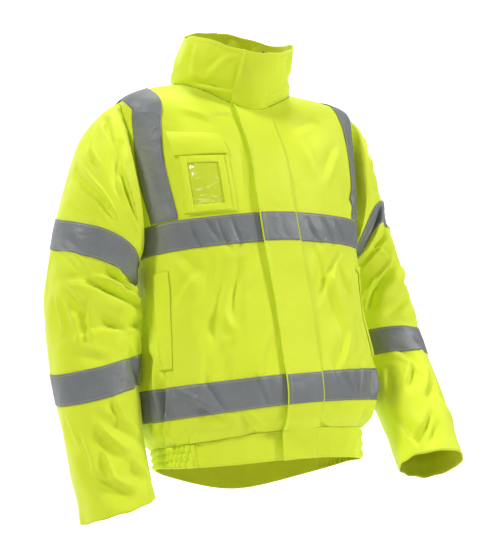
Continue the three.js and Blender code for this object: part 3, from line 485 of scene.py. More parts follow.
def shell(name, outer, thick, materials, wrap=False, sign=1.0):
    """A closed thin sheet whose outside is a grid of points in mm, with lengths along the cloth as its UV map."""
    inner = outer - grid_normals(outer, wrap) * sign * thick
    rows, cols = outer.shape[:2]
    half = rows * cols
    points = np.concatenate([outer.reshape(-1, 3), inner.reshape(-1, 3)])
    u, w = (length_along(closed_grid(outer, wrap), axis) * MM for axis in (1, 0))
    place = lambda i, j: np.stack([u[i, j], w[i, j]], -1)
    i, j = (a.ravel() for a in np.meshgrid(np.arange(rows - 1), np.arange(cols if wrap else cols - 1), indexing="ij"))
    k = (j + 1) % cols
    front = np.stack([i * cols + j, i * cols + k, (i + 1) * cols + k, (i + 1) * cols + j], -1)
    front_uv = np.stack([place(i, j), place(i, j + 1), place(i + 1, j + 1), place(i + 1, j)], 1)
    turned = [0, 3, 2, 1]
    faces, uvs = [front, front[:, turned] + half], [front_uv, front_uv[:, turned]]
    # the narrow faces round the edges, which join the outside to the inside
    at = closed_grid(np.arange(half).reshape(rows, cols), wrap)
    runs = [(at[0], 1), (at[-1], -1)] + ([] if wrap else [(at[:, 0], -1), (at[:, -1], 1)])
    for run, way in runs:
        faces.append(np.stack([run[:-1] + half, run[1:] + half, run[1:], run[:-1]], -1)[:, ::way])
        uvs.append(np.repeat(place(run // cols, run % cols)[:-1, None], 4, 1))
    faces, uvs = np.concatenate(faces), np.concatenate(uvs)
    kinds = np.zeros(len(faces))
    kinds[len(front):2 * len(front)] = 1
    p = points[faces]
    volume = np.einsum("ij,ij->i", p[:, 0], np.cross(p[:, 1] - p[:, 0], p[:, 2] - p[:, 0])
                       + np.cross(p[:, 2] - p[:, 0], p[:, 3] - p[:, 0])).sum()
    if volume < 0:
        faces, uvs = faces[:, ::-1], uvs[:, ::-1]
    return mesh_object(name, points, faces, materials, uvs, kinds)


def mesh_object(name, points, faces, materials, uvs=None, kinds=None):
    """A mesh object from arrays of points in mm and of faces with equal numbers of corners."""
    faces = np.ascontiguousarray(faces, dtype=np.int32)
    count, corners = faces.shape
    mesh = bpy.data.meshes.new(name)
    mesh.vertices.add(len(points))
    mesh.vertices.foreach_set("co", (np.asarray(points, float) * MM).ravel())
    mesh.loops.add(count * corners)
    mesh.loops.foreach_set("vertex_index", faces.ravel())
    mesh.polygons.add(count)
    mesh.polygons.foreach_set("loop_start", np.arange(0, count * corners, corners, dtype=np.int32))
    mesh.polygons.foreach_set("loop_total", np.full(count, corners, dtype=np.int32))
    if uvs is not None:
        layer = mesh.uv_layers.new(name="cloth")
        layer.data.foreach_set("uv", np.ascontiguousarray(uvs, dtype=np.float32).ravel())
    for material in materials:
        mesh.materials.append(material)
    if kinds is not None and len(materials) > 1:
        mesh.polygons.foreach_set("material_index", np.asarray(kinds, dtype=np.int32))
    mesh.update(calc_edges=True)
    mesh.validate()
    mesh.shade_smooth()
    obj = bpy.data.objects.new(name, mesh)
    bpy.context.scene.collection.objects.link(obj)
    return obj


def stitches(name, runs, material, pitch, length=2.3, width=0.55, height=0.4):
    """Thread stitches along runs of (points, outward directions), as short low lozenges half sunk in the cloth."""
    rows = []
    for points, outs in runs:
        along = np.concatenate([[0], np.cumsum(np.linalg.norm(np.diff(points, axis=0), axis=1))])
        count = max(int(along[-1] // pitch), 1)
        want = (np.arange(count) + 0.5) * along[-1] / count
        at = lambda values, x: np.stack([np.interp(x, along, values[:, k]) for k in range(3)], 1)
        rows.append((at(points, want), unit(at(points, want + 0.6) - at(points, want - 0.6)), unit(at(outs, want))))
    place, way, up = (np.concatenate(part) for part in zip(*rows))
    side = unit(np.cross(up, way))
    half, wide = way * length / 2, side * width / 2
    p = np.stack([place - half, place - wide, place + half, place + wide, place + up * height,
                  place - up * height * 0.6], 1).reshape(-1, 3)
    tri = np.array([[0, 1, 4], [1, 2, 4], [2, 3, 4], [3, 0, 4], [1, 0, 5], [2, 1, 5], [3, 2, 5], [0, 3, 5]])
    faces = (tri[None] + 6 * np.arange(len(place))[:, None, None]).reshape(-1, 3)
    q = p[faces[:8]]
    if np.einsum("ij,ij->i", q[:, 0] - place[0], np.cross(q[:, 1] - q[:, 0], q[:, 2] - q[:, 0])).sum() < 0:
        faces = faces[:, ::-1]
    return mesh_object(name, p, faces, [material])


def dress(obj, node=None):
    """Fixes a piece to the jacket, in place of a node of the frame where one is named."""
    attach(obj, "root")
    if node:
        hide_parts(node)


def declare(outer, ease=1.0, wrap=False):
    """Works out the cut of a sheet in metres, from lengths along its surface times the share that is gathered up, and
    keeps nothing of it.
    """
    grid = closed_grid(outer, wrap)
    width, length = (float(length_along(grid, axis).max() * MM) for axis in (1, 0))
    a, b, c, d = grid[:-1, :-1], grid[1:, :-1], grid[1:, 1:], grid[:-1, 1:]
    area = (np.linalg.norm(np.cross(b - a, c - a), axis=-1) + np.linalg.norm(np.cross(c - a, d - a), axis=-1)).sum() / 2
    width, area = width * ease, float(area * MM * MM) * ease
    width = max(width, area / length)


# Places on the jacket
def centre_shift(v):
    """How far the front opening stands to the wearer's left of the middle."""
    return spline(CENTRE_SHIFT, v)[..., 0]


def theta_full(q, v):
    """Angle at the distance q from the centre front, for places past the centre back too."""
    half = q_of(CENTRE_BACK, v)
    q = np.asarray(q, float)
    over = np.abs(q) > half
    return np.where(over, np.sign(q) * 2 * math.pi - theta_of(np.sign(q) * (2 * half - np.abs(q)), v), theta_of(q, v))


def on_torso(q, v, lift):
    """Point at a height over the cloth and the outward direction there."""
    q, v, lift = np.broadcast_arrays(np.asarray(q, float), np.asarray(v, float), lift)
    theta = theta_full(q, v)
    n = torso_normal(theta, v)
    return torso(theta, v) + n * lift[..., None], n


ARM_ROWS = ARM_MIDDLE - ARM_HALF * np.cos(np.linspace(0, math.pi, 61))
ROWS = np.concatenate([np.linspace(0, ARMPIT_ROW, 101)[:-1], ARM_ROWS, np.linspace(TIP_ROW, NECK, 27)[1:]])
HEM_ROWS = np.linspace(1, 0.02, 15)
COLLAR_ROWS = np.linspace(0, 4, 37)


def front_lines(side, near, rows, inset=TAPE_INSET, columns=100):
    """Distances from the centre front for the columns of a front panel, at each row."""
    v = np.asarray(rows)[:, None]
    edge = q_of(arm_angle(v, False), v) - SEAM - inset
    s = np.linspace(0, 1, columns)[None, :]
    near = near + side * centre_shift(v)
    q = side * (near + (edge - near) * s)
    return (q if side > 0 else q[:, ::-1]), v


def back_lines(rows, inset=TAPE_INSET, columns=200):
    """The same for the back, from side to side."""
    v = np.asarray(rows)[:, None]
    q0 = q_of(arm_angle(v, True), v) + SEAM + inset
    q1 = 2 * q_of(CENTRE_BACK, v) - q0
    return q0 + (q1 - q0) * np.linspace(0, 1, columns)[None, :], v


def laid(q, v, lift):
    """Grid of points over the torso, for a piece that lies on it."""
    return on_torso(q, v, lift)[0]


def strip_runs(q, v, lift):
    """Stitch runs just inside the upper and lower edges of a tape given by its grid."""
    runs = []
    for row in (0.06 * (len(v) - 1), 0.94 * (len(v) - 1)):
        i, t = int(row), row % 1
        runs.append(on_torso(q[i] * (1 - t) + q[i + 1] * t, v[i] * (1 - t) + v[i + 1] * t, lift))
    return runs


def gather(q):
    """Uneven gathers of the elastic, from -1 to 1, with narrow valleys between round puffs."""
    return 2 * np.abs(np.sin(q / 3.3 + 0.9 * np.sin(q / 17) + 0.5 * np.sin(q / 7.3))) ** 0.7 - 1


def hem_surface(q, w):
    """Outside of the hem band, gathered between the ends of the elastic at each side."""
    q, w = np.broadcast_arrays(np.asarray(q, float), np.asarray(w, float))
    p = hem(theta_full(q, np.zeros(q.shape)), w)
    n = unit(np.stack([p[..., 0] / 2.5, p[..., 1], 0 * q], -1))
    fade = np.clip((ELASTIC_HALF - np.abs(np.abs(q) - ELASTIC_MIDDLE)) / np.where(q > 0, 42, 9), 0, 1)
    puff = np.abs(np.sin(3 * math.pi * w)) ** 0.7
    turn = 5 * np.floor(3 * w) + 2 * w
    d = fade * (3.2 * gather(q + turn) * (0.45 + 0.55 * puff) + 2.6 * puff + 0.8 * np.sin(q / 11 + 2) - 1.0)
    d += (1 - fade) * (0.5 * np.sin(q / 19 + 3 * w) + 0.25 * np.sin(q / 6.3 + 5 * w) + 0.5 * np.sin(math.pi * w))
    return p + n * d[..., None]


# Materials
def srgb(code):
    """Linear colour of an sRGB hex code."""
    values = [int(code[k:k + 2], 16) / 255 for k in (1, 3, 5)]
    return tuple(x / 12.92 if x <= 0.04045 else ((x + 0.055) / 1.055) ** 2.4 for x in values)


def node(tree, kind, settings=None, **links):
    """Adds a shader node with its settings, and links each input from a socket or sets it to a value.

    An input is named with _ for a space, or by its place as n0, n1 and so on.
    """
    item = tree.nodes.new("ShaderNode" + kind)
    for key, value in (settings or {}).items():
        setattr(item, key, value)
    for key, value in links.items():
        name = key.replace("_", " ")
        socket = item.inputs[int(key[1:])] if key[0] == "n" and key[1:].isdigit() else item.inputs[name]
        if isinstance(value, bpy.types.NodeSocket):
            tree.links.new(value, socket)
        else:
            socket.default_value = value
    return item


MATERIALS = {}


def new_tree(key, name):
    """Empty node tree of a new material, which is kept under a short name."""
    material = MATERIALS[key] = bpy.data.materials.new(name)
    material.use_nodes = True
    material.node_tree.nodes.clear()
    return material.node_tree


def finish(tree, shader):
    node(tree, "OutputMaterial", Surface=shader.outputs[0])


def noise(tree, place, scale, detail, **more):
    return node(tree, "TexNoise", Vector=place, Scale=scale, Detail=detail, **more).outputs["Fac"]


def bump(tree, strength, distance, height, **under):
    return node(tree, "Bump", Strength=strength, Distance=distance, Height=height, **under).outputs["Normal"]


def two_tone(tree, factor, first, second):
    mix = node(tree, "Mix", {"data_type": "RGBA"}, n0=factor, n6=(*first, 1), n7=(*second, 1))
    return mix.outputs[2]


def cloth_material(key, name, colour, shade, roughness, painted_glow, crumple):
    """Woven cloth: colour that varies a little, weave from the UV lengths and fine crumples from the place."""
    tree = new_tree(key, name)
    place = node(tree, "TexCoord")
    spot = place.outputs["Object"]
    tone = two_tone(tree, noise(tree, spot, 9.0, 3.0, Roughness=0.55), shade, colour)
    waves = [node(tree, "TexWave", {"wave_type": "BANDS", "bands_direction": axis},
                  Vector=place.outputs["UV"], Scale=320.0).outputs["Fac"] for axis in "XY"]
    weave = node(tree, "Math", {"operation": "ADD"}, n0=waves[0], n1=waves[1])
    low = bump(tree, crumple, 0.004, noise(tree, spot, 26.0, 2.0, Roughness=0.4, Distortion=0.6))
    mid = bump(tree, crumple * 0.4, 0.0008, noise(tree, spot, 90.0, 2.0, Roughness=0.4), Normal=low)
    fine = bump(tree, 0.25, 0.0001, weave.outputs[0], Normal=mid)
    # the emission is a painted glow in the cloth's own colour
    finish(tree, node(tree, "BsdfPrincipled", Roughness=roughness, Normal=fine, Base_Color=tone,
                      Sheen_Weight=0.12, Sheen_Roughness=0.5, Specular_IOR_Level=0.27, Emission_Color=tone,
                      Emission_Strength=painted_glow))


def make_materials(settings):
    """All finishes of the jacket, by short names."""
    # fluorescent shell: bright, even, with a faint painted glow in place of the dye's fluorescence, and soft satin
    # lights on its crumples
    cloth_material("shell", "fluorescent_polyester", settings.shell_colour[:], settings.shade_colour[:], 0.58,
                   settings.painted_glow, 0.5)
    # inner face of the same garment, more olive, and darker with a weaker painted glow, partly as painted shade of the
    # jacket's inside
    cloth_material("inside", "polyester_inner_face", settings.inside_colour[:], srgb("#BECA16"), 0.75,
                   settings.painted_glow * 0.4, 0.6)
    # thread: the shell's yellow, a little deeper, matt
    cloth_material("thread", "polyester_thread", srgb("#B9C62A"), srgb("#A8B520"), 0.7, 0.0, 0.0)
    # thread on the tapes: bright yellow, so that the rows read as fine lines on the grey
    cloth_material("bright", "bright_polyester_thread", srgb("#E2F03C"), srgb("#D2E030"), 0.6, 0.0, 0.0)
    # zip tape: near-black and woven
    cloth_material("zip", "black_zip_tape", srgb("#262824"), srgb("#1B1D1A"), 0.8, 0.0, 0.2)
    # moulded stop of the zip: black with a soft shine
    tree = new_tree("nylon", "black_moulded_nylon")
    finish(tree, node(tree, "BsdfPrincipled", Base_Color=(*srgb("#151615"), 1), Roughness=0.35))
    # silver grey tape with glass beads: flat grey with a fine grain, slightly bent
    tree = new_tree("tape", "bead_reflective_tape")
    spot = node(tree, "TexCoord").outputs["Object"]
    tone = two_tone(tree, noise(tree, spot, 28.0, 3.0), srgb("#7A7D7E"), settings.tape_colour[:])
    low = bump(tree, 0.5, 0.004, noise(tree, spot, 24.0, 2.0, Distortion=1.8))
    fine = bump(tree, 0.25, 0.0002, noise(tree, spot, 1400.0, 2.0), Normal=low)
    finish(tree, node(tree, "BsdfPrincipled", Base_Color=tone, Roughness=0.52, Metallic=0.12, Normal=fine,
                      Specular_IOR_Level=0.5))
    # clear vinyl film: see-through, with sharp lights on its ripples
    tree = new_tree("film", "clear_vinyl_film")
    spot = node(tree, "TexCoord").outputs["Object"]
    ripple = bump(tree, 0.9, 0.006, noise(tree, spot, 33.0, 1.0, Distortion=2.6))
    clear = node(tree, "BsdfTransparent", Color=(0.995, 0.995, 0.985, 1))
    gloss = node(tree, "BsdfGlossy", Color=(1, 1, 1, 1), Roughness=0.09, Normal=ripple)
    finish(tree, node(tree, "MixShader", n0=0.06, n1=clear.outputs[0], n2=gloss.outputs[0]))


# Settings
def size(name, description, metres):
    return bpy.props.FloatProperty(
        name=name, description=description, default=metres, unit="LENGTH", subtype="DISTANCE")


def colour(name, description, code):
    return bpy.props.FloatVectorProperty(name=name, description=description, default=srgb(code), subtype="COLOR")


class JacketSettings(bpy.types.PropertyGroup):
    """Sizes and colours of the dressed jacket."""
    shell_thickness: size("Shell thickness", "Cloth with its lining", 0.0014)
    tape_width: size("Tape width", "Reflective tape", 0.05)
    tape_thickness: size("Tape thickness", "Reflective tape", 0.0006)
    stitch_pitch: size("Stitch pitch", "Distance between stitches", 0.0034)
    # strength of the painted glow: emission added to the cloth in place of the dye's fluorescence
    painted_glow: bpy.props.FloatProperty(
        name="Painted glow", description="Glow painted on in place of the dye's fluorescence", default=0.06, subtype="FACTOR")
    shell_colour: colour("Shell", "Lit shell cloth", "#E4F539")
    shade_colour: colour("Shell, duller", "Duller patches of the shell", "#DCEA2C")
    # darker than the shell, partly as painted shade of the jacket's inside
    inside_colour: colour("Inside", "Inner face of the cloth", "#D4DE1C")
    tape_colour: colour("Tape", "Reflective tape", "#878B8C")


def make(name, outer, thick, kind="shell", inside="inside", node_name=None, slot="shell_fabric", wrap=False, sign=1.0,
         ease=1.0, held="hung", on=()):
    """One sheet of the jacket, dressed, with its cut worked out but not kept."""
    materials = [MATERIALS[key] for key in (kind, inside) if key]
    obj = shell(name, outer, thick, materials, wrap, sign)
    dress(obj, node_name)
    declare(outer, ease, wrap)


# What the tapes, and the small parts sewn on, have in common
TAPE = dict(kind="tape", inside=None, slot="reflective_tape", held="laid")
TRIM = dict(inside=None, held="laid")


class JACKET_OT_fronts(bpy.types.Operator):
    """Makes the two front panels"""
    bl_idname = "jacket.fronts"
    bl_label = "Front panels"

    def execute(self, context):
        thick = context.scene.jacket.shell_thickness / MM
        for side, part in SIDES:
            q, v = front_lines(side, ZIP_HALF, ROWS, 0, 112)
            make(f"cloth_front_{part}", laid(q, v, 0), thick, node_name=f"front_{part}")
        return {"FINISHED"}


class JACKET_OT_back(bpy.types.Operator):
    """Makes the back panel"""
    bl_idname = "jacket.back"
    bl_label = "Back panel"

    def execute(self, context):
        q, v = back_lines(ROWS, 0, 220)
        make("cloth_back", laid(q, v, 0), context.scene.jacket.shell_thickness / MM, node_name="back")
        return {"FINISHED"}


def sleeve_grid(side, t0, t1, rows):
    phi = np.linspace(0, 2 * math.pi, ROUND_COLUMNS, endpoint=False)[None, :]
    return sleeve(side, *np.broadcast_arrays(phi, np.linspace(t0, t1, rows)[:, None]))


def band_grid(side, edge, width, lift):
    """Grid of a band of even width round a sleeve, and its outward directions."""
    middle, outer, back = edge
    phi = np.linspace(0, 2 * math.pi, ROUND_COLUMNS, endpoint=False)[None, :]
    top = middle + outer * np.cos(phi) + back * np.sin(phi)
    t = top + np.linspace(0, 2.4, 97)[:, None]
    lengths = length_along(sleeve(side, phi + 0 * t, t), 0)
    want = np.linspace(0, width, TAPE_ROWS)
    at = np.stack([np.interp(want, lengths[:, j], t[:, j]) for j in range(ROUND_COLUMNS)], 1)
    grid = sleeve(side, phi + 0 * at, at)
    n = grid_normals(grid, True) * -side
    return grid + n * lift, n


class JACKET_OT_sleeves(bpy.types.Operator):
    """Makes the two sleeves, gathered a little into the armholes"""
    bl_idname = "jacket.sleeves"
    bl_label = "Sleeves"

    def execute(self, context):
        thick = context.scene.jacket.shell_thickness / MM
        for side, part in SIDES:
            make(f"cloth_sleeve_{part}", sleeve_grid(side, 0, 12, 176), thick, node_name=f"sleeve_{part}", wrap=True,
                 sign=-side)
        return {"FINISHED"}


def collar_grid(lift=0.0):
    v = COLLAR_ROWS[:, None]
    a0 = collar_angle(ZIP_HALF, v)
    theta = a0 + (2 * math.pi - 2 * a0) * np.linspace(0, 1, 150)[None, :]
    grid = collar(theta, v + 0 * theta)
    return grid + grid_normals(grid) * lift


class JACKET_OT_collar(bpy.types.Operator):
    """Makes the stand collar"""
    bl_idname = "jacket.collar"
    bl_label = "Collar"

    def execute(self, context):
        make("cloth_collar", collar_grid(), 2.4, node_name="collar")
        return {"FINISHED"}


class JACKET_OT_hem(bpy.types.Operator):
    """Makes the flat and gathered lengths of the hem band"""
    bl_idname = "jacket.hem"
    bl_label = "Hem band"

    def execute(self, context):
        thick = context.scene.jacket.shell_thickness / MM
        end = 2 * float(q_of(CENTRE_BACK, 0)) - HEM_BACK - 0.5
        shift = float(centre_shift(0))
        spans = [
            ("hem_band_right", -HEM_FLAT, shift - ZIP_HALF, 60),
            ("hem_band_left", shift + ZIP_HALF, HEM_FLAT, 60),
            ("hem_elastic_right", -HEM_BACK, -HEM_FLAT - 0.5, 220),
            ("hem_elastic_left", HEM_FLAT + 0.5, HEM_BACK, 220),
            ("hem_band_back", HEM_BACK + 0.5, end, 120),
        ]
        for name, q0, q1, columns in spans:
            grid = hem_surface(np.linspace(q0, q1, columns)[None, :], np.linspace(1, 0, 29)[:, None])
            elastic = dict(held="gathered", ease=1.05) if "elastic" in name else {}
            make(f"cloth_{name}", grid, thick, node_name=name, **elastic)
        return {"FINISHED"}


def brace_grid(side, width, lift, steps=170, across=16):
    """Grid of a shoulder tape of even width, from the chest tape in front to the one at the back."""
    top = CHEST_ROWS[1]
    front = [(193, top + 0.12), (201, 7.2), (206, 8.2), (205, 9.15)]
    path = [(float(theta_of(q, v)), v) for q, v in front]
    path += [(75 * DEG, 10.01), (90 * DEG, 10.56), (107.5 * DEG, 10.06), (119 * DEG, 9.15), (123 * DEG, 8.2),
             (124 * DEG, 7.2), (124 * DEG, top + 0.12)]
    path = np.array(path) * [side, 1]
    theta, v = spline(path, np.linspace(0, len(path) - 1, steps + 1)).T
    slope = lambda a, b, da, db: torso_plain(a + da, b + db) - torso_plain(a - da, b - db)
    n = unit(np.cross(slope(theta, v, 0.01, 0), slope(theta, v, 0, 0.02)))
    way = unit(np.cross(n, unit(np.gradient(torso_plain(theta, v), axis=0))))
    columns = []
    for want in np.linspace(-0.5, 0.5, across + 1) * width:
        # walk that far over the cloth in ten steps
        a, b = theta.copy(), v.copy()
        for _ in range(10):
            here = torso_plain(a, b)
            da = (torso_plain(a + 0.01, b) - here) * 100
            db = (torso_plain(a, b + 0.01) - here) * 100
            aa, bb, ab = (da * da).sum(-1), (db * db).sum(-1), (da * db).sum(-1)
            ra, rb = (da * way * want / 10).sum(-1), (db * way * want / 10).sum(-1)
            det = aa * bb - ab * ab
            a, b = a + (ra * bb - rb * ab) / det, b + (rb * aa - ra * ab) / det
        b[[0, -1]] = top + 0.04
        columns.append(torso(a, b) + torso_normal(a, b) * lift)
    return np.stack(columns[::-side], 1)


class JACKET_OT_tapes(bpy.types.Operator):
    """Lays the reflective tapes on the body and sleeves"""
    bl_idname = "jacket.tapes"
    bl_label = "Reflective tapes"

    def execute(self, context):
        settings = context.scene.jacket
        thick, width = settings.tape_thickness / MM, settings.tape_width / MM
        lift = 0.7 + thick
        for label, span in BELTS:
            rows = np.linspace(*span, TAPE_ROWS)
            for side, part in SIDES:
                q, v = front_lines(side, ZIP_HALF if side < 0 else LEFT_TAPE_START, rows)
                name = f"{label}_tape_{part}"
                make(f"laid_{name}", laid(q, v, lift), thick, node_name=name, on=[f"cloth_front_{part}"], **TAPE)
            q, v = back_lines(rows)
            name = f"{label}_tape_back"
            make(f"laid_{name}", laid(q, v, lift), thick, node_name=name, on=["cloth_back"], **TAPE)
        for side, part in SIDES:
            make(f"laid_brace_tape_{part}", brace_grid(side, width, 1.2 + thick), thick,
                 node_name=f"brace_tape_{part}", on=[f"cloth_front_{part}", "cloth_back"], **TAPE)
            for edge, level in zip(BANDS[side], ("upper", "lower")):
                make(f"laid_{level}_band_{part}", band_grid(side, edge, width, lift)[0], thick,
                     node_name=f"{level}_band_{part}", wrap=True, sign=-side, on=[f"cloth_sleeve_{part}"], **TAPE)
        return {"FINISHED"}


def patch_grid(side, quad, columns, rows, lift, s0=0.0, s1=1.0, t0=0.0, t1=1.0):
    """Grid over the part of a four-cornered patch on a front between the shares s0, s1 and t0, t1 of its sides."""
    t, s = np.meshgrid(np.linspace(t0, t1, rows), np.linspace(s0, s1, columns), indexing="ij")
    s = s[:, ::side]
    a, b, c, d = np.array(quad, float)
    x, y = s[..., None], t[..., None]
    q, z = np.moveaxis((a * (1 - x) + b * x) * (1 - y) + (d * (1 - x) + c * x) * y, -1, 0)
    return laid(side * q, row_at_height(side * q, z), lift(s, t))


# Corners of the pocket parts on a front: q and height, round from the lower corner nearest the zip
POCKET = [[71, -223], [158, -223], [164, -112], [76, -112]]
WINDOW = [[86, -214], [147, -217], [151, -136], [90, -138]]
BINDING = [[80, -221], [153, -223], [157, -129], [84, -131]]
FLAP = [[75, -128], [166, -128], [174, -86], [84, -92]]
WELT = [[199, -468], [227, -468], [223, -312], [190, -312]]


class JACKET_OT_card_pocket(bpy.types.Operator):
    """Makes the pass-card pocket with its bound window, film and flap"""
    bl_idname = "jacket.card_pocket"
    bl_label = "Card pocket"

    def execute(self, context):
        swell = lambda s, t: np.sin(np.pi * s) * np.sin(np.pi * t)
        bag = lambda s, t: 1.9 + 1.6 * np.sin(np.pi * s) * np.sin(np.pi * t) ** 0.5
        make("cloth_card_pocket", patch_grid(-1, POCKET, 60, 70, bag), 1.2, node_name="card_pocket",
             on=["cloth_front_right"], **TRIM)
        film = lambda s, t: 3.6 + 1.2 * swell(s, t) + 0.35 * np.sin(9 * s + 5 * t)
        make("film_card_window", patch_grid(-1, WINDOW, 40, 50, film), 0.4, kind="film", node_name="card_window",
             slot="clear_film", on=["cloth_card_pocket"], **TRIM)
        edge, low = 0.16, 0.13
        for name, columns, rows, s0, s1, t0, t1 in (
                ("left", 8, 60, 0, edge, 0, 1), ("right", 8, 60, 1 - edge, 1, 0, 1),
                ("bottom", 44, 8, edge, 1 - edge, 0, low), ("top", 44, 8, edge, 1 - edge, 1 - low, 1)):
            lift = lambda s, t: 4.6 + 0.9 * swell((s - s0) / (s1 - s0), (t - t0) / (t1 - t0))
            grid = patch_grid(-1, BINDING, columns, rows, lift, s0, s1, t0, t1)
            make(f"cloth_binding_{name}", grid, 0.8, on=["cloth_card_pocket"], **TRIM)
        cover = lambda s, t: 5.2 + 2.2 * np.sin(np.pi * np.clip(t, 0, 1)) ** 0.8 - 3.2 * t ** 2 + 0.5 * np.sin(7 * s)
        make("cloth_pocket_flap", patch_grid(-1, FLAP, 66, 32, cover), 1.6, node_name="pocket_flap",
             on=["cloth_front_right"], **TRIM)
        return {"FINISHED"}


class JACKET_OT_hand_pockets(bpy.types.Operator):
    """Makes the welts of the hand pockets"""
    bl_idname = "jacket.hand_pockets"
    bl_label = "Hand pocket welts"

    def execute(self, context):
        lift = lambda s, t: 1.9 + 1.5 * np.sin(np.pi * s) ** 0.5 + 0.4 * np.sin(8 * t + 1)
        for side, part in SIDES:
            make(f"cloth_welt_{part}", patch_grid(side, WELT, 20, 70, lift), 1.3, node_name=f"welt_{part}",
                 on=[f"cloth_front_{part}"], **TRIM)
        return {"FINISHED"}


# Storm flap: distances of its columns from the centre front, and how high it lies over the fronts there
FLAP_Q = np.array([-38, -22, -6.5, 6.5, 19, 31], float)
FLAP_LIFT = np.array([3.4, 2.8, 2.3, 2.0, 1.7, 1.3], float)


def centre_grid(q):
    """Points down the centre front over the hem, body and collar, with their outward directions."""
    q = np.asarray(q, float)[None, :]
    low = hem_surface(q + centre_shift(0), HEM_ROWS[:, None])
    v = ROWS[:, None] + 0 * q
    w = COLLAR_ROWS[1:, None] + 0 * q
    grid = np.concatenate([low, torso(theta_of(q + centre_shift(v), v), v), collar(collar_angle(q + 0 * w, w), w)])
    return grid, grid_normals(grid)


def belt_slice(span):
    """Rows of the centre grid that a body tape crosses."""
    first, last = (len(HEM_ROWS) + int(np.argmin(np.abs(ROWS - v))) for v in span)
    return slice(first, last + 1)


class JACKET_OT_closure(bpy.types.Operator):
    """Makes the zip and the storm flap that covers it"""
    bl_idname = "jacket.closure"
    bl_label = "Zip and storm flap"

    def execute(self, context):
        settings = context.scene.jacket
        grid, n = centre_grid(np.linspace(-6.1, 6.1, 5))
        make("cloth_zip_tape", grid - n * 0.3, 1.2, kind="zip", inside=None, node_name="zip", slot="zip_tape")
        q = np.linspace(FLAP_Q[0], FLAP_Q[-1], 34)
        grid, n = centre_grid(q)
        rows = np.arange(len(grid))[:, None]
        # the free edge stands off the cloth, and most on the collar
        free = np.clip((4 - np.arange(34)) / 4, 0, 1)[None, :]
        stand = 2.3 + 0.8 * np.sin(rows / 17) + 0.5 * np.sin(rows / 7.1) + 1.4 * (rows > len(HEM_ROWS) + len(ROWS))
        lift = np.interp(q, FLAP_Q, FLAP_LIFT)[None, :] + settings.shell_thickness / MM + free ** 1.5 * stand
        outer = grid + n * lift[..., None]
        make("cloth_storm_flap", outer, 1.3, inside=None, node_name="storm_flap")
        thick = settings.tape_thickness / MM
        over = outer + grid_normals(outer) * (0.25 + thick)
        for label, span in BELTS:
            make(f"laid_{label}_tape_flap", over[belt_slice(span), 1:-1], thick, node_name=f"{label}_tape_flap",
                 on=["cloth_storm_flap"], **TAPE)
        return {"FINISHED"}


class JACKET_OT_zip_end(bpy.types.Operator):
    """Makes the moulded stop at the upper end of the zip"""
    bl_idname = "jacket.zip_end"
    bl_label = "Zip end"

    def execute(self, context):
        grid, n = centre_grid(np.linspace(-1, 1, 3))
        place, way = grid[-1, 1], unit(grid[-1, 1] - grid[-3, 1])
        out = n[-1, 1]
        bpy.ops.mesh.primitive_cube_add(size=1.0)
        obj = context.active_object
        obj.name = "zip_end_stop"
        turn = Matrix((Vector(np.cross(way, out)), Vector(out), Vector(way))).transposed().to_4x4()
        size = Matrix.Diagonal((0.0075, 0.0036, 0.009, 1.0))
        obj.matrix_world = Matrix.Translation(Vector((place + out * 0.6 - way * 3.6) * MM)) @ turn @ size
        bpy.ops.object.transform_apply(location=True, rotation=True, scale=True)
        bevel = obj.modifiers.new("edges", "BEVEL")
        bevel.width = 0.001
        bevel.segments = 3
        bpy.ops.object.modifier_apply(modifier=bevel.name)
        bpy.ops.object.shade_smooth_by_angle(angle=35 * DEG)
        obj.data.materials.append(MATERIALS["nylon"])
        dress(obj, None)
        return {"FINISHED"}


def hem_runs(spans, heights, count):
    """Stitch runs along the hem band, between distances from the centre front and at shares of its height."""
    runs = []
    for w in heights:
        for q0, q1 in spans:
            grid = hem_surface(np.linspace(q0, q1, count)[None, :], w + np.linspace(0.01, -0.01, 3)[:, None])
            runs.append((grid[1], grid_normals(grid)[1]))
    return runs


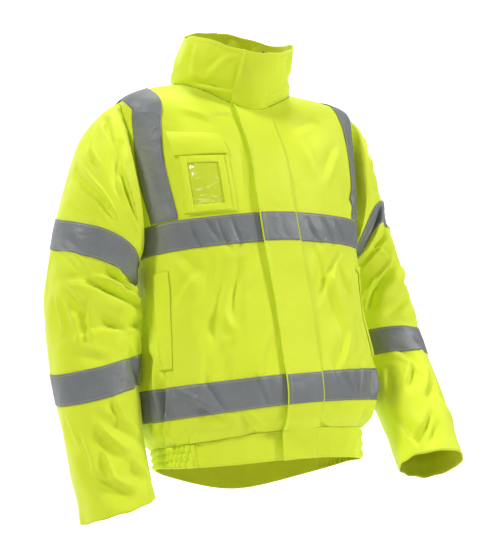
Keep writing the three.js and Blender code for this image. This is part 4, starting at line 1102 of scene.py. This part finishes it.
class JACKET_OT_stitching(bpy.types.Operator):
    """Sews the rows of stitches that show"""
    bl_idname = "jacket.stitching"
    bl_label = "Stitching"

    def execute(self, context):
        pitch = context.scene.jacket.stitch_pitch / MM
        width = context.scene.jacket.tape_width / MM
        # rows on the tapes
        runs = []
        for _, span in BELTS:
            rows = np.linspace(*span, TAPE_ROWS)
            for side, _ in SIDES:
                lines = front_lines(side, ZIP_HALF if side < 0 else LEFT_STITCH_START, rows)
                runs += strip_runs(*lines, OVER_TAPE)
            runs += strip_runs(*back_lines(rows), OVER_TAPE)
        for side, _ in SIDES:
            grid = brace_grid(side, width, 1.85)
            n = grid_normals(grid)
            runs += [(grid[:, k], n[:, k]) for k in (1, -2)]
            runs += [(grid[k, 1:-1] + n[k, 1:-1] * 0.2, n[k, 1:-1]) for k in (2, 5, -3, -6)]
            for edge in BANDS[side]:
                grid, n = band_grid(side, edge, width, OVER_TAPE)
                runs += [(grid[k], n[k]) for k in (1, TAPE_ROWS - 2)]
        q = np.array([FLAP_Q[0] + 8, FLAP_Q[-1] - 3.5])
        grid, n = centre_grid(q)
        high = grid + n * (np.interp(q, FLAP_Q, FLAP_LIFT)[None, :, None] + 2.4)
        for _, span in BELTS:
            rows = belt_slice(span)
            runs += [(high[rows, k], n[rows, k]) for k in (0, 1)]
        dress(stitches("tape_stitches", runs, MATERIALS["bright"], pitch, width=0.8))
        # storm flap, collar, armholes, shoulders and cuffs
        q = np.array([FLAP_Q[0] + 4.5, FLAP_Q[-1] - 2])
        grid, n = centre_grid(q)
        outer = grid + n * (np.interp(q, FLAP_Q, FLAP_LIFT)[None, :, None] + 1.5)
        runs = [(outer[:, k], n[:, k]) for k in (0, 1)]
        top = collar_grid(0.1)
        n = grid_normals(top)
        runs += [(top[k], n[k]) for k in (-4, 2)]
        arm = ROWS[(ROWS > ARMPIT_ROW + 0.02) & (ROWS < TIP_ROW - 0.02)]
        shoulder = np.linspace(TIP_ROW + 0.1, NECK - 0.05, 40)
        for side, _ in SIDES:
            for back, off in ((False, -4.5), (True, 4.5)):
                runs.append(on_torso(side * (q_of(arm_angle(arm, back), arm) + off), arm, 0.05))
            runs.append(on_torso(side * (q_of(90 * DEG, shoulder) + 4), shoulder, 0.05))
            cuff = sleeve_grid(side, 11.55, 11.7, 3)
            runs.append((cuff[1], (grid_normals(cuff, True) * -side)[1]))
        dress(stitches("seam_stitches", runs, MATERIALS["thread"], pitch))
        # hem band
        end = 2 * float(q_of(CENTRE_BACK, 0)) - HEM_BACK
        shift = float(centre_shift(0))
        runs = hem_runs(((-HEM_BACK, -HEM_FLAT), (HEM_FLAT, HEM_BACK)), (0.08, 0.34, 0.67, 0.93), 160)
        runs += hem_runs(((-HEM_FLAT, shift - ZIP_HALF), (shift + 32, HEM_FLAT), (HEM_BACK, end)), (0.08, 0.93), 120)
        dress(stitches("hem_stitches", runs, MATERIALS["thread"], pitch))
        return {"FINISHED"}


class JACKET_OT_stage(bpy.types.Operator):
    """Sets the pale sweep, the soft lights and the camera"""
    bl_idname = "jacket.stage"
    bl_label = "Stage"

    def execute(self, context):
        scene = context.scene
        # floor that bends up into a wall behind the jacket: Y and height down its middle, in metres
        bend = [k / 12 * math.pi / 2 for k in range(1, 13)]
        profile = [(-7.0, -1.6), (2.2, -1.6), *((2.2 + 2.0 * math.sin(a), 0.4 - 2.0 * math.cos(a)) for a in bend),
                   (4.2, 9.0)]
        points = np.array([[(x, y, z) for x in (-9, 9)] for y, z in profile]).reshape(-1, 3) / MM
        faces = [[2 * i, 2 * i + 1, 2 * i + 3, 2 * i + 2] for i in range(len(profile) - 1)]
        # matt white paper, which glows behind the jacket so that it stays white in the picture
        tree = new_tree("sweep", "white_paper_sweep")
        spot = node(tree, "TexCoord").outputs["Object"]
        far = node(tree, "MapRange", n1=0.9, n2=2.6, n3=0.03, n4=0.8,
                   Value=node(tree, "SeparateXYZ", Vector=spot).outputs["Y"])
        finish(tree, node(tree, "BsdfPrincipled", Base_Color=(0.93, 0.93, 0.93, 1), Roughness=0.9,
                          Emission_Color=(1, 1, 1, 1), Emission_Strength=far.outputs[0]))
        mesh_object("white_sweep", points, faces, [MATERIALS["sweep"]])
        # soft lamps: place, power in watts and width of the disc
        target = Vector((0, 0, -0.3))
        for name, place, power, size in (("key", (-2.9, -1.3, 2.6), 94, 0.7), ("side", (2.7, -2.3, 1.5), 82, 0.8),
                                         ("top", (0.3, 0.0, 2.8), 44, 1.0), ("low", (-0.4, -2.8, -1.3), 5, 1.8)):
            data = bpy.data.lights.new(name, "AREA")
            data.energy, data.shape, data.size = power, "DISK", size
            lamp = bpy.data.objects.new(name, data)
            lamp.location = place
            lamp.rotation_euler = (Vector(place) - target).to_track_quat("Z", "Y").to_euler()
            scene.collection.objects.link(lamp)
        scene.world = bpy.data.worlds.new("studio")
        scene.world.use_nodes = True
        background = scene.world.node_tree.nodes["Background"]
        background.inputs["Color"].default_value = (1, 1, 1, 1)
        background.inputs["Strength"].default_value = 0.08
        # camera: 27 degrees round to the wearer's right, from 2 m, 542 mm under the neck
        azimuth, pitch, roll = -27 * DEG, 6.35 * DEG, 5 * DEG
        away = Vector((math.sin(azimuth), -math.cos(azimuth), 0))
        forward = -away * math.cos(pitch) + Vector((0, 0, 1)) * math.sin(pitch)
        right = forward.cross(Vector((0, 0, 1))).normalized()
        up = right.cross(forward)
        axes = (right * math.cos(roll) - up * math.sin(roll), right * math.sin(roll) + up * math.cos(roll), -forward)
        data = bpy.data.cameras.new("camera")
        data.lens, data.sensor_width, data.clip_end = 75.87, 36, 60
        camera = bpy.data.objects.new("camera", data)
        place = Matrix.Translation(away * 2.0 + Vector((0, 0, -0.542)))
        camera.matrix_world = place @ Matrix(axes).transposed().to_4x4()
        scene.collection.objects.link(camera)
        scene.camera = camera
        scene.view_settings.view_transform = "Standard"
        return {"FINISHED"}


STEPS = (JACKET_OT_fronts, JACKET_OT_back, JACKET_OT_sleeves, JACKET_OT_collar, JACKET_OT_hem, JACKET_OT_closure,
         JACKET_OT_zip_end, JACKET_OT_tapes, JACKET_OT_card_pocket, JACKET_OT_hand_pockets, JACKET_OT_stitching,
         JACKET_OT_stage)


class JACKET_PT_panel(bpy.types.Panel):
    """Lists the jacket's settings and steps"""
    bl_label = "Hi-vis work jacket"
    bl_space_type = "VIEW_3D"
    bl_region_type = "UI"
    bl_category = "Jacket"

    def draw(self, context):
        settings = context.scene.jacket
        for name in settings.__annotations__:
            self.layout.prop(settings, name)
        for step in STEPS:
            self.layout.operator(step.bl_idname)


def register():
    bpy.utils.register_class(JacketSettings)
    bpy.types.Scene.jacket = bpy.props.PointerProperty(type=JacketSettings)
    for item in (*STEPS, JACKET_PT_panel):
        bpy.utils.register_class(item)


def unregister():
    for item in reversed((*STEPS, JACKET_PT_panel)):
        bpy.utils.unregister_class(item)
    del bpy.types.Scene.jacket
    bpy.utils.unregister_class(JacketSettings)


def main():
    register()
    make_materials(bpy.context.scene.jacket)
    for step in STEPS:
        group, name = step.bl_idname.split(".")
        if getattr(getattr(bpy.ops, group), name)() != {"FINISHED"}:
            raise RuntimeError(step.bl_label)
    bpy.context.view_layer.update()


if __name__ == "__main__":
    main()
